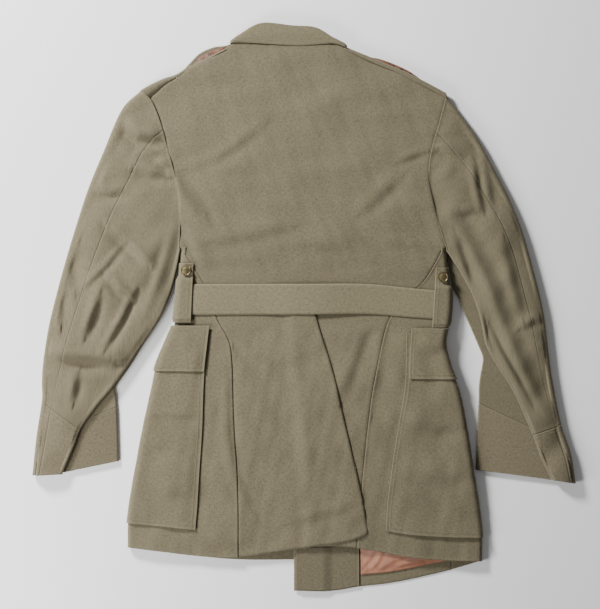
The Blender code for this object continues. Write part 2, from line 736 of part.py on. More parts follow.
def back_skirt_right(collection):
    rows = []
    for q in skirt_levels(Q_HEM, Q_WAIST - SEAM):
        right = RIGHT.seam(q) - SEAM / 2
        row = []
        for i in range(7):
            x = vent_under(q) + (right - vent_under(q)) * i / 6
            y = q + hem_share(q) * (RIGHT.hem_top(x) - Q_HEM)
            row.append((x, y, back_height(x, q)))
        rows.append(row)
    cloth("back_skirt_right", rows, CLOTH, DRAB, collection)


def pocket(side, bottom, collection):
    """Patch pocket that wraps round the side, and the flap over its mouth."""
    proud = CLOTH / 2 + LAID + POCKET_CLOTH / 2
    rows = []
    for q in skirt_levels(bottom, -38.0):
        start = side.run_in(q, side.pocket(q))
        end = -(math.pi * side.radius(q) / 2 + 96)
        rows.append([side.point(q, s, proud) for s in side.round_stops(q, start, end, 3, 3)])
    cloth(f"pocket_{side.name}", rows, POCKET_CLOTH, DRAB, collection)


def flap(side, top, bottom, collection):
    proud = CLOTH / 2 + LAID + POCKET_CLOTH + LAID + FLAP_CLOTH / 2
    rows = []
    for q in skirt_levels(bottom, top):
        start = side.run_in(q, side.flap(q))
        end = -(math.pi * side.radius(q) / 2 + 99)
        rows.append([side.point(q, s, proud) for s in side.round_stops(q, start, end, 3, 3)])
    cloth(f"flap_{side.name}", rows, FLAP_CLOTH, DRAB_LIGHT, collection)


def belt_line(share):
    """Rows of the belt across its depth, share 0 at its top edge."""
    proud = CLOTH / 2 + LAID + 0.2 + BELT_CLOTH / 2
    line = []

    def level(x):
        return belt_top(x) + (belt_bottom(x) - belt_top(x)) * share

    def floor_run(start, end, steps):
        for i in range(1, steps + 1):
            x = start + (end - start) * i / steps
            rise = (BUCKLE_WALL + 0.4) * smooth(58, 34, abs(x - BUCKLE_X))
            line.append((x, level(x), BELT_CLOTH / 2 + rise))

    def round_side(side, stops):
        for s in stops:
            q = level(side.sign * side.edge(10))
            line.append(side.point(q, s, proud))

    right_quarter = math.pi * RIGHT.radius(10) / 2
    left_quarter = math.pi * LEFT.radius(10) / 2
    floor_run(BUCKLE_X - 2, -LEFT.edge(10) + 30, 7)
    round_side(LEFT, [-left_quarter + left_quarter * i / 3 for i in range(7)])
    left_x = -LEFT.edge(10) + LEFT.radius(10)
    right_x = RIGHT.edge(10) - RIGHT.radius(10)
    for i in range(1, 15):
        x = left_x + (right_x - left_x) * i / 15
        over = LAP_RISE * smooth(-40, -14, x) * smooth(40, 22, x)
        line.append((x, level(x), top_of(10) + 0.5 + proud + over))
    round_side(RIGHT, [right_quarter - right_quarter * i / 3 for i in range(7)])
    start = RIGHT.edge(10) - 30
    line.append((start, level(start), BELT_CLOTH / 2))
    floor_run(start, BUCKLE_X + 2, 7)
    return line


def belt(collection):
    rows = [belt_line(share / 4) for share in range(5)]
    cloth("belt", rows, BELT_CLOTH, DRAB_LIGHT, collection)


def carrier(side, levels, inner_top, inner_bottom, collection):
    """Upright tab that holds the belt at the side."""
    low = CLOTH / 2 + LAID + CARRIER_CLOTH / 2
    high = low + BELT_CLOTH + LAID + 0.7
    rows = []
    for q, over in levels:
        share = (levels[0].q - q) / (levels[0].q - levels[-1].q)
        inner = inner_top + (inner_bottom - inner_top) * share
        proud = low + (high - low) * over
        quarter = math.pi * side.radius(q) / 2
        start = side.run_in(q, inner)
        stops = [start, (start + quarter) / 2, quarter, quarter * 2 / 3, quarter / 3, 0.0]
        rows.append([side.point(q, s, proud) for s in stops])
    cloth(f"carrier_{side.name}", rows, CARRIER_CLOTH, DRAB_LIGHT, collection)


def turned(name, profile, place, collection):
    """Brass button from a profile of radius and height, top to bottom."""
    line = bpy.data.meshes.new(name)
    spots = [(radius * MM, 0.0, height * MM) for radius, height in profile]
    line.from_pydata(spots, [(i, i + 1) for i in range(len(spots) - 1)], [])
    material = finish(name, BRASS, BRASS_ROUGHNESS, BRASS_METALLIC)
    piece = add_object(name, line, material, collection, place)
    turn = piece.modifiers.new("turn", "SCREW")
    turn.steps = BUTTON_STEPS
    turn.render_steps = BUTTON_STEPS
    turn.use_merge_vertices = True
    turn.merge_threshold = 0.00001
    turn.use_smooth_shade = True
    return piece


def dome(radius, height, brim):
    """Profile of a domed button, top to bottom."""
    spots = []
    for step in range(5):
        angle = math.pi / 2 * step / 4
        spots.append((radius * math.sin(angle), brim + (height - brim) * math.cos(angle)))
    return spots + [(radius, 0.0), (0.0, 0.0)]


def plain_disc(radius, height, bevel):
    """Profile of a flat-backed button with eased edges, top to bottom."""
    eased = radius - bevel
    return [(0.0, height), (eased, height), (radius, height - bevel), (radius, bevel), (eased, 0.0), (0.0, 0.0)]


def buttons(collection):
    face = plain_disc(FRONT_BUTTON_RADIUS, FRONT_BUTTON_HEIGHT, FRONT_BUTTON_BEVEL)
    for index, spot in enumerate(FRONT_BUTTONS, start=1):
        turned(f"front_button_{index}", face, (spot.x, spot.y, 0.0), collection)
    rise = CLOTH / 2 + LAID + CARRIER_CLOTH + BUTTON_GAP
    face = dome(CARRIER_BUTTON_RADIUS, CARRIER_BUTTON_HEIGHT, CARRIER_BUTTON_BRIM)
    for name, (x, y) in CARRIER_BUTTONS.items():
        turned(name, face, (x, y, top_of(y) + rise), collection)


def sleeve_rows(side, rows, first, last, floor):
    """Section points of a sleeve, one list for each row from first to last.

    A section starts on the outer edge's top, runs over the upper layer to the
    fold, under it through the pleat to the lower layer's edge, and back along
    the surface to the outer edge.
    """
    head = rows[0]
    shoulder = LEFT_SHOULDER if side is LEFT else RIGHT_SHOULDER
    stops = [armhole_stop(shoulder, level.q) for level in LEVELS if Q_ARM < level.q < Q_NECK]
    shares = [(y - head.outer[1]) / (head.fold[1] - head.outer[1]) for y in reversed(stops)]

    def swing(row, start, end, t):
        """Bend of a row that follows the armhole near the shoulder."""
        if row.swing == 0.0:
            return (0.0, 0.0)
        y = head.outer[1] + (head.fold[1] - head.outer[1]) * t
        chord = abs(head.outer[0] + (head.fold[0] - head.outer[0]) * t)
        out = side.armhole(y) + ARMHOLE_SEAM / 2
        return (side.sign * (out - chord) * row.swing, 0.0)

    sections = []
    for row in rows[first:last + 1]:
        def upper(t, row=row):
            spot = mix(row.outer, row.fold, t)
            extra = swing(row, row.outer, row.fold, t)
            return (spot[0] + extra[0], spot[1] + extra[1])

        def lower(t, row=row):
            spot = mix(row.outer, row.under, t)
            extra = swing(row, row.outer, row.under, t)
            return (spot[0] + extra[0], spot[1] + extra[1])

        upper_length = math.dist(row.outer, row.fold)
        lower_length = math.dist(row.outer, row.under)
        levels = [floor + PLEAT_RISE * i for i in range(3)]
        outer_turn = (row.top_outer - levels[0]) / 2
        fold_turn = (row.top_fold - levels[2]) / 2
        small_turn = PLEAT_RISE / 2
        t_outer = outer_turn / upper_length
        t_fold = 1 - fold_turn / upper_length
        t_deep = 1 - (min(PLEAT_DEPTH, upper_length * 0.3) - small_turn) / upper_length
        t_under = 1 - small_turn / lower_length
        t_floor = outer_turn / lower_length
        points = []
        for t in [t_outer] + shares[1:] + [t_fold]:
            share = (t - t_outer) / (t_fold - t_outer)
            x, y = upper(t)
            z = row.top_outer + (row.top_fold - row.top_outer) * share
            z += row.puff * math.sin(math.pi * share) + relief("sleeve", x, y) * math.sin(math.pi * share)
            points.append((x, y, z))
        for i in range(1, 4):
            angle = math.pi * i / 4
            x, y = upper(t_fold + fold_turn / upper_length * math.sin(angle))
            points.append((x, y, levels[2] + fold_turn * (1 + math.cos(angle))))
        for i in range(4):
            angle = math.pi * i / 4
            x, y = upper(t_deep - small_turn / upper_length * math.sin(angle))
            points.append((x, y, levels[1] + small_turn * (1 + math.cos(angle))))
        for i in range(5):
            angle = math.pi * i / 4
            x, y = lower(t_under + small_turn / lower_length * math.sin(angle))
            points.append((x, y, levels[0] + small_turn * (1 + math.cos(angle))))
        for t in reversed(shares[1:]):
            x, y = lower(t)
            points.append((x, y, levels[0]))
        for i in range(5):
            angle = math.pi * i / 5
            x, y = lower(t_floor - outer_turn / lower_length * math.sin(angle))
            points.append((x, y, levels[0] + outer_turn * (1 - math.cos(angle))))
        sections.append(points)
    return sections


HIND_POINT = 1
FORE_POINT = 21


def strip(sections, start, end, part_start, part_end):
    """Part of closed sections from one point number round to another."""
    rows = []
    for points in sections:
        count = len(points)
        stops = list(range(start, end + 1))
        row = [points[stop % count] for stop in stops]
        row[0] = shortened(row[0], row[1], part_start)
        row[-1] = shortened(row[-1], row[-2], part_end)
        rows.append(row)
    return rows


def shortened(end, beside, length):
    """End point moved a length towards the point beside it."""
    gap = math.dist(end, beside)
    return mix(end, beside, length / gap)


def parted(sections, length):
    """Sections whose first row is moved a length towards the second."""
    first = [shortened(a, b, length) for a, b in zip(sections[0], sections[1])]
    return [first] + sections[1:]


def sleeve(side, rows, collection):
    body = sleeve_rows(side, rows, 0, CUFF_ROW, SLEEVE_FLOOR)
    ends = len(body[0])
    under = strip(body, HIND_POINT, FORE_POINT, SEAM / 2, SEAM / 2)
    top = strip(body, FORE_POINT, HIND_POINT + ends, SEAM / 2, SEAM / 2)
    cloth(f"under_sleeve_{side.name}", under, SLEEVE_CLOTH, DRAB, collection)
    cloth(f"top_sleeve_{side.name}", top, SLEEVE_CLOTH, DRAB, collection)
    band = sleeve_rows(side, rows, CUFF_ROW, len(rows) - 1, CUFF_FLOOR)
    band = parted(band, CUFF_SEAM)
    ring = strip(band, HIND_POINT, HIND_POINT + ends, SEAM / 2, SEAM / 2)
    cloth(f"cuff_{side.name}", ring, CUFF_CLOTH, DRAB_DARK, collection)


def collar(collection):
    """Collar leaf folded over its stand, round the neck and under the fronts."""
    rows = []
    for stop in COLLAR:
        angle = math.radians(stop.turn)
        out_z = COLLAR_MIDDLE + COLLAR_OUT * math.sin(angle)
        in_z = COLLAR_MIDDLE + COLLAR_IN * math.sin(angle)
        if stop.turn in (-90, 90, 270):
            edge_x, fold_x, seam_x = stop.edge_x, stop.fold_x, stop.seam_x
            out_x, in_x = fold_x, fold_x
        else:
            out_x = stop.x - COLLAR_OUT * math.cos(angle)
            in_x = stop.x - COLLAR_IN * math.cos(angle)
            edge_x, fold_x, seam_x = out_x, out_x, in_x
        fold = (COLLAR_OUT - COLLAR_IN) / 2
        middle_x = (out_x + in_x) / 2
        middle_z = (out_z + in_z) / 2
        row = []
        for share in (0.0, 0.5, 1.0):
            x = edge_x + (out_x - edge_x) * share
            y = stop.edge_y + (stop.fold_y - fold - stop.edge_y) * share
            row.append((x, y, out_z))
        for step in (1, 2, 3):
            swing = math.pi * step / 4
            x = middle_x + (out_x - middle_x) * math.cos(swing)
            z = middle_z + (out_z - middle_z) * math.cos(swing)
            row.append((x, stop.fold_y - fold + fold * math.sin(swing), z))
        row.append((in_x, stop.fold_y - fold, in_z))
        row.append((seam_x, min(stop.seam_y, stop.fold_y - fold - 1.5), in_z))
        rows.append(row)
    cloth("collar", rows, COLLAR_CLOTH, DRAB_LIGHT, collection)


def flat_piece(name, rungs, wall, colour, collection, low=0.0, steps=3):
    """Flat cloth between two edges, lying at one level."""
    rows = []
    for rung in rungs:
        row = []
        for i in range(steps + 1):
            x, y = mix((rung.outer_x, rung.outer_y), (rung.inner_x, rung.inner_y), i / steps)
            row.append((x, y, low + wall / 2))
        rows.append(row)
    cloth(name, rows, wall, colour, collection)


def strap(side, rungs, collection):
    flat_piece(f"strap_{side.name}", rungs, STRAP_CLOTH, DRAB, collection)
    strip_rungs = []
    for rung in rungs[1:]:
        outer = mix((rung.outer_x, rung.outer_y), (rung.inner_x, rung.inner_y), 0.05)
        inner = mix((rung.outer_x, rung.outer_y), (rung.inner_x, rung.inner_y), 0.42)
        strip_rungs.append(Rung(*outer, *inner))
    low = STRAP_CLOTH + 0.3
    flat_piece(f"strap_lining_{side.name}", strip_rungs, 1.0, SALMON, collection, low, 2)


def buckle(collection):
    """Plain frame that lies under the belt's front, filled between two outlines."""
    outline = bpy.data.curves.new("buckle", "CURVE")
    outline.dimensions = "2D"
    outline.fill_mode = "BOTH"
    outline.extrude = BUCKLE_WALL / 2 * MM
    for inset in (0.0, BUCKLE_BAR):
        half_x = (BUCKLE_WIDTH / 2 - inset) * MM
        half_y = (BUCKLE_DEPTH / 2 - inset) * MM
        corners = [(-half_x, -half_y), (half_x, -half_y), (half_x, half_y), (-half_x, half_y)]
        bars = outline.splines.new("POLY")
        bars.points.add(len(corners) - 1)
        bars.use_cyclic_u = True
        for point, (x, y) in zip(bars.points, corners):
            point.co = (x, y, 0.0, 1.0)
    place = (BUCKLE_X, (belt_top(0) + belt_bottom(0)) / 2, BUCKLE_WALL / 2)
    add_object("buckle", outline, finish("buckle", BRASS, BRASS_ROUGHNESS, BRASS_METALLIC), collection, place)


def inside_pieces(edge_of, collection):
    """Facing and lining on the right front's inner side, where they show."""
    proud = CLOTH / 2 + LAID
    pieces = [
        ("facing_right", FACING_CLOTH, DRAB_DARK, -368.5, (0.585, 0.7, 0.8, 0.9, 0.985)),
        ("lining_right", LINING_CLOTH, SALMON, -356.0, (0.02, 0.2, 0.42, 0.5, 0.575)),
    ]
    for name, wall, colour, low, stops in pieces:
        rows = []
        for q in skirt_levels(low, -318.0):
            row = [front_point(RIGHT, RIGHT_SHOULDER, edge_of, u, q, proud + wall / 2) for u in stops]
            rows.append(row)
        cloth(name, rows, wall, colour, collection)


def main():
    for leftover in list(bpy.data.objects):
        bpy.data.objects.remove(leftover, do_unlink=True)
    jacket = fresh_collection("military_jacket")
    left_edge = through(LEFT_FRONT_EDGE, "q", "out")
    right_edge = through(RIGHT_FRONT_EDGE, "q", "out")
    back(jacket)
    back_skirt_left(jacket)
    back_skirt_right(jacket)
    side_panel(LEFT, jacket)
    side_panel(RIGHT, jacket)
    front(LEFT, LEFT_SHOULDER, left_edge, jacket)
    front(RIGHT, RIGHT_SHOULDER, right_edge, jacket)
    pocket(LEFT, -331.0, jacket)
    pocket(RIGHT, -336.0, jacket)
    flap(LEFT, -27.0, -95.0, jacket)
    flap(RIGHT, -31.0, -106.0, jacket)
    belt(jacket)
    buckle(jacket)
    carrier(LEFT, LEFT_CARRIER, 164, 168, jacket)
    carrier(RIGHT, RIGHT_CARRIER, 199, 193, jacket)
    buttons(jacket)
    sleeve(LEFT, LEFT_SLEEVE, jacket)
    sleeve(RIGHT, RIGHT_SLEEVE, jacket)
    collar(jacket)
    strap(LEFT, LEFT_STRAP, jacket)
    strap(RIGHT, RIGHT_STRAP, jacket)
    flat_piece("lapel_left", LEFT_LAPEL, LAPEL_CLOTH, DRAB, jacket)
    flat_piece("lapel_right", RIGHT_LAPEL, LAPEL_CLOTH, DRAB, jacket)
    inside_pieces(right_edge, jacket)


main()
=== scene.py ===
"""Officer's wool jacket laid face down, seen from straight above.

Every cloth piece is a thin sheet with its own seams, pressed edges and creases.
Sizes are in millimetres as the jacket lies, +Y towards the collar, +X towards the
right sleeve and +Z up; they become metres when a mesh is made.
"""

from __future__ import annotations

import logging
import math
from dataclasses import dataclass, field
from enum import Enum
from typing import Sequence

import bpy
import numpy as np
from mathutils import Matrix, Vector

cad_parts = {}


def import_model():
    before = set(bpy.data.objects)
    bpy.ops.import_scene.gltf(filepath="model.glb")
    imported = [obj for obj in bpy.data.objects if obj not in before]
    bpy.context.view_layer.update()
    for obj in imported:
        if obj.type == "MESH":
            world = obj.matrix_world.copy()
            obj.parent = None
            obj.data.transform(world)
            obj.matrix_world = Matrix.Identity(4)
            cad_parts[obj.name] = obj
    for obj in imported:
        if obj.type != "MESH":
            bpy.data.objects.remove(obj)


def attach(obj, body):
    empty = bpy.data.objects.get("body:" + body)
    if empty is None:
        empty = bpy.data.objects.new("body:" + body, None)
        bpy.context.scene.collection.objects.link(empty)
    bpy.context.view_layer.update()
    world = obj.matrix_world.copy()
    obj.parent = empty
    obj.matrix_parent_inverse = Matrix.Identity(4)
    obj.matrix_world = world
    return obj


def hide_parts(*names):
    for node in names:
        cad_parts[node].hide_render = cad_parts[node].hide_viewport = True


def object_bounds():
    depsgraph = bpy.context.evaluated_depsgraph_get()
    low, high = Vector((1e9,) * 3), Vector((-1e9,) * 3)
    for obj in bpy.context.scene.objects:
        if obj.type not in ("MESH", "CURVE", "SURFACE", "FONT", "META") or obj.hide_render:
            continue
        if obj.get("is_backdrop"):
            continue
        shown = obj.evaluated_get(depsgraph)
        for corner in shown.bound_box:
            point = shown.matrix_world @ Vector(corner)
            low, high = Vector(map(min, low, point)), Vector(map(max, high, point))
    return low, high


LOG = logging.getLogger("jacket")
Array = np.ndarray

MM = 0.001
MIDDLE_X = 1.25
MIDDLE_Y = 0.5

CLOTH = 2.0
SLEEVE_CLOTH = 1.8
CUFF_CLOTH = 2.3
COLLAR_CLOTH = 1.6
LAPEL_CLOTH = 1.6
POCKET_CLOTH = 1.6
FLAP_CLOTH = 1.8
BELT_CLOTH = 2.6
CARRIER_CLOTH = 1.6
STRAP_CLOTH = 1.2
FACING_CLOTH = 1.2
LINING_CLOTH = 1.0

SEAM = -0.1
LAID = 0.5
ARMHOLE_SEAM = -1.4
Q_HEM = -370.0
Q_WAIST = 12.0
Q_ARM = 84.0
Q_NECK = 392.0
FLOOR_SEAM_IN = 45.0
UNDERARM = 9.0
LAP_RISE = 3.0
STITCH_IN = 6.2
STITCH_GROOVE_WIDTH = 0.9
EDGE_WALL = 0.35
EDGE_RUN = 1.8
FULL_WALL = 0.999
FAR = 1000.0
FLAT_GROOVE = 0.15
NECK_DROP = 14
FRONT_EDGE_STOPS = 12
BUTTON_SIDE = 7.2
BUTTON_FRONT = 11.0
BUTTON_FRONT_ROWS = (100, 58, -62, -122)
DOME_STEPS = (
    (0.06, 0.0),
    (0.05, -0.16),
    (0.09, 0.02),
    (0.18, 0.1),
    (0.2, 0.08),
    (0.2, 0.05),
    (0.14, 0.02),
)


class Run:
    """Smooth line through values that are known at a few places."""

    def __init__(self, at: Sequence[float], to: Sequence[float], level: bool = False) -> None:
        """Make the line.

        Args:
            at: Places, in any order.
            to: Value at each place.
            level: Whether the line never swings past its values.
        """
        order = np.argsort(np.asarray(at, dtype=float))
        self.at = np.asarray(at, dtype=float)[order]
        self.to = np.asarray(to, dtype=float)[order]
        if level:
            rises = np.diff(self.to) / np.diff(self.at)
            product = rises[:-1] * rises[1:]
            total = np.where(product > 0, rises[:-1] + rises[1:], 1.0)
            inner = np.where(product > 0, 2 * product / total, 0.0)
            self.slopes = np.concatenate([rises[:1], inner, rises[-1:]])
        else:
            self.slopes = np.gradient(self.to, self.at)

    def __call__(self, where: Array | float) -> Array:
        """Value at each given place, held steady past the ends.

        Args:
            where: Places to read the line at.

        Returns:
            The value at each place.
        """
        where = np.clip(where, self.at[0], self.at[-1])
        i = np.clip(np.searchsorted(self.at, where, side="right") - 1, 0, len(self.at) - 2)
        span = self.at[i + 1] - self.at[i]
        t = (where - self.at[i]) / span
        rise = self.to[i + 1] - self.to[i]
        leave, arrive = self.slopes[i] * span, self.slopes[i + 1] * span
        square = 3 * rise - 2 * leave - arrive
        cube = leave + arrive - 2 * rise
        return self.to[i] + leave * t + square * t**2 + cube * t**3


class Table:
    """Rows of sizes under named columns."""

    def __init__(self, columns: str, *rows: tuple[float, ...]) -> None:
        """Keep the rows.

        Args:
            columns: Names of the columns, with a space between two.
            rows: One tuple of sizes a row.
        """
        self.values = dict(zip(columns.split(), np.array(rows, dtype=float).T))

    def run(self, key: str, column: str, level: bool = False) -> Run:
        """Line of one column, read along another."""
        return Run(self.values[key], self.values[column], level)


def smooth(low: float | Array, high: float | Array, value: Array | float) -> Array:
    """Soft step from 0 at low to 1 at high."""
    t = np.clip((value - low) / (high - low), 0.0, 1.0)
    return t * t * (3 - 2 * t)


def stops(length: float, step: float) -> Array:
    """Shares of a length at which a sheet is sampled, crowded near the ends.

    Args:
        length: The length, in mm.
        step: Space between stops in the middle.

    Returns:
        Rising shares from 0 to 1.
    """
    if length < 44:
        return np.linspace(0, 1, max(int(length / step), 3) + 1)
    edge = np.array([0, 0.5, 1.2, 2.2, 3.4, 4.8, 5.6, 6.2, 6.8, 7.6, 9.2, 11.5, 15])
    count = max(int((length - 30) / step), 1)
    inner = np.linspace(15, length - 15, count + 1)[1:-1]
    return np.concatenate([edge, inner, length - edge[::-1]]) / length


@dataclass(frozen=True)
class Crease:
    """Soft ridge in the cloth, or a trough where its height is below zero."""

    height: float
    width: float
    path: tuple[tuple[float, float], ...]

    def shape(self, off: Array, side: Array) -> Array:
        """Share of the height at a distance from the path."""
        return np.exp(-((off / self.width) ** 2))

    def rise(self, x: Array, y: Array) -> Array:
        """Height that the crease adds at each place.

        Args:
            x: Places across the jacket.
            y: Places along it.

        Returns:
            The height at each place.
        """
        best = np.full(np.shape(x), np.inf)
        side = np.ones(np.shape(x))
        along = np.zeros(np.shape(x))
        pairs = list(zip(self.path, self.path[1:]))
        total = sum(math.dist(a, b) for a, b in pairs)
        done = 0.0
        for a, b in pairs:
            length = math.dist(a, b)
            t = ((x - a[0]) * (b[0] - a[0]) + (y - a[1]) * (b[1] - a[1])) / length**2
            t = np.clip(t, 0, 1)
            off = np.hypot(x - a[0] - t * (b[0] - a[0]), y - a[1] - t * (b[1] - a[1]))
            nearer = off < best
            turn = (b[0] - a[0]) * (y - a[1]) - (b[1] - a[1]) * (x - a[0])
            side = np.where(nearer, np.sign(turn), side)
            best = np.where(nearer, off, best)
            along = np.where(nearer, (done + t * length) / total, along)
            done += length
        fade = np.sin(np.pi * (0.08 + 0.84 * along)) ** 0.7
        return self.height * fade * self.shape(best, side)


@dataclass(frozen=True)
class Fold(Crease):
    """Cloth pushed up on the path's left, with a steep fall to its right."""

    def shape(self, off: Array, side: Array) -> Array:
        """Share of the height at a distance from the path."""
        across = off * side / self.width
        return np.exp(-((across - 0.75) ** 2)) - np.exp(-((across + 0.75) ** 2))


@dataclass(frozen=True)
class Unevenness:
    """Gentle waviness that pressed wool keeps, the same on each run."""

    seed: int
    depth: float = 1.0
    waves: int = 16

    def rise(self, x: Array, y: Array) -> Array:
        """Height that the waviness adds at each place.

        Args:
            x: Places across the jacket.
            y: Places along it.

        Returns:
            The height at each place.
        """
        chance = np.random.default_rng(self.seed)
        total = np.zeros(np.shape(x))
        for _ in range(self.waves):
            length = chance.uniform(16, 105)
            turn = chance.uniform(0, math.pi)
            phase = chance.uniform(0, 2 * math.pi)
            run = x * math.cos(turn) + y * math.sin(turn)
            total = total + 0.0032 * length * np.sin(2 * math.pi * run / length + phase)
        return total * self.depth


class Zone(Enum):
    """Regions of the jacket that keep their own creases."""

    BACK = "back"
    SKIRT = "skirt"
    POCKET = "pocket"
    SLEEVE = "sleeve"
    COLLAR = "collar"
    LINING = "lining"


CREASES: dict[Zone, tuple[Crease, ...]] = {
    Zone.BACK: (
        Fold(2.8, 12, ((-150, 143), (-174, 175), (-196, 204))),
        Crease(1.4, 9, ((-190, 172), (-168, 150), (-152, 122))),
        Fold(1.4, 9, ((-172, 208), (-130, 221), (-104, 237), (-60, 272))),
        Fold(1.5, 9, ((88, 142), (114, 162), (146, 194))),
        Crease(0.9, 9, ((84, 158), (108, 178), (136, 208))),
        Fold(1.6, 6, ((146, 219), (180, 231))),
        Fold(1.2, 10, ((-132, 98), (-75, 106), (-22, 118))),
        Crease(1.5, 9, ((-176, 128), (-160, 98), (-148, 70))),
        Crease(-1.3, 7, ((-182, 118), (-172, 88), (-160, 64))),
        Fold(1.5, 10, ((94, 112), (122, 94), (152, 92))),
        Crease(0.9, 14, ((20, 300), (60, 330), (110, 338))),
        Crease(-0.9, 14, ((-60, 340), (-10, 352), (40, 342))),
        Crease(-1.0, 14, ((-20, 200), (30, 176), (70, 168))),
        Fold(1.0, 12, ((20, 92), (60, 84), (96, 70))),
    ),
    Zone.SKIRT: (
        Fold(1.3, 7, ((-98, -55), (-84, -70), (-68, -77))),
        Fold(0.8, 11, ((-62, -78), (-20, -85), (10, -70))),
        Fold(1.5, 8, ((-72, -310), (-100, -250), (-109, -190), (-111, -128), (-106, -66))),
        Crease(-0.9, 8, ((-30, -130), (-36, -215))),
        Crease(1.0, 9, ((0, -150), (10, -260))),
        Fold(1.5, 9, ((58, -140), (76, -88), (95, -38), (101, -12))),
        Fold(0.9, 8, ((104, -160), (118, -90), (126, -40))),
        Crease(1.0, 10, ((70, -170), (66, -240))),
        Fold(1.0, 12, ((-190, -345), (-140, -352), (-60, -350))),
        Fold(1.0, 10, ((-20, -330), (30, -322), (80, -312))),
    ),
    Zone.POCKET: (
        Fold(1.1, 6, ((-224, -160), (-188, -163), (-150, -165))),
        Fold(1.4, 10, ((-244, -260), (-205, -278), (-164, -287))),
        Crease(1.0, 12, ((-240, -238), (-180, -246))),
        Fold(1.1, 9, ((-232, -205), (-192, -213))),
        Fold(1.2, 10, ((148, -168), (196, -186), (234, -180))),
        Fold(1.0, 11, ((158, -250), (210, -262), (248, -250))),
        Fold(1.0, 8, ((168, -60), (196, -66), (214, -52))),
        Crease(0.8, 8, ((186, -42), (200, -52), (212, -66))),
    ),
    Zone.SLEEVE: (
        Fold(8, 10.4, ((-272, 274), (-248, 256), (-207, 247))),
        Fold(3.6, 6.9, ((-250, 236), (-228, 230), (-205, 232))),
        Fold(4.6, 5.8, ((-220, 218), (-198, 208))),
        Fold(5.9, 8, ((-250, 206), (-229, 199), (-208, 196))),
        Fold(4.6, 5.8, ((-306, 173), (-290, 170), (-272, 171))),
        Fold(5.6, 8, ((-290, 118), (-257, 89), (-232, 64))),
        Crease(1.8, 8, ((-270, 128), (-246, 106), (-226, 86))),
        Fold(2.6, 4.6, ((-326, 30), (-295, 61), (-268, 94))),
        Fold(4.6, 6.9, ((-290, 43), (-276, 26), (-262, 16))),
        Fold(4.3, 5.8, ((-295, -60), (-270, -18), (-251, 22))),
        Fold(4.3, 6.9, ((-325, -42), (-310, -2), (-304, 18))),
        Fold(7.6, 11.5, ((-378, -70), (-340, -78), (-286, -81))),
        Crease(1.8, 9, ((-366, -98), (-330, -102), (-300, -102))),
        Crease(3, 8, ((-194, 118), (-205, 82), (-220, 36), (-240, -14))),
        Crease(-1.8, 7, ((-208, 100), (-220, 62), (-236, 24))),
        Fold(3.3, 6.9, ((-344, -140), (-338, -104))),
        Fold(4.6, 9.2, ((-364, -22), (-366, 6), (-360, 26))),
        Crease(1.3, 4, ((-305, 205), (-296, 176))),
        Fold(3.6, 10.3, ((-344, 28), (-352, 62), (-340, 90))),
        Fold(4.2, 7, ((181, 227), (203, 238), (224, 228))),
        Crease(2.4, 7, ((194, 190), (217, 206), (222, 220))),
        Fold(2, 6, ((186, 252), (216, 258))),
        Fold(3.2, 6, ((270, 148), (262, 180), (257, 216))),
        Fold(1.8, 8, ((286, 146), (280, 172), (274, 212))),
        Crease(
            4,
            9,
            ((220, 142), (245, 97), (270, 47), (290, -8), (318, -73), (345, -128), (366, -166)),
        ),
        Crease(-3, 11, ((244, 142), (270, 95), (294, 46), (314, -8), (340, -72), (362, -120))),
        Fold(2.4, 7, ((236, 141), (256, 143))),
        Fold(2.2, 7, ((254, 28), (242, 66), (228, 110))),
        Fold(2.2, 5, ((340, -142), (320, -104), (299, -68), (281, -28))),
        Fold(2.2, 9, ((328, -12), (316, 40), (302, 98))),
        Fold(2.2, 7, ((330, -30), (346, -20), (360, -24))),
    ),
    Zone.COLLAR: (
        Crease(0.5, 8, ((-70, 410), (-20, 412), (20, 408))),
        Crease(-0.4, 7, ((-60, 402), (0, 404), (30, 400))),
    ),
    Zone.LINING: (
        Fold(0.78, 3, ((90, -392), (100, -380), (108, -368))),
        Fold(0.78, 3, ((100, -398), (114, -384), (120, -370))),
        Fold(0.72, 4, ((122, -392), (138, -382), (160, -374))),
        Fold(0.66, 3, ((132, -398), (152, -388), (176, -384))),
        Fold(0.6, 4, ((160, -392), (184, -384), (206, -380))),
        Fold(0.54, 3, ((88, -404), (96, -396), (99, -386))),
    ),
}


def relief(zone: Zone, x: Array, y: Array) -> Array:
    """Height that all the creases of one region add."""
    return sum(crease.rise(x, y) for crease in CREASES[zone])


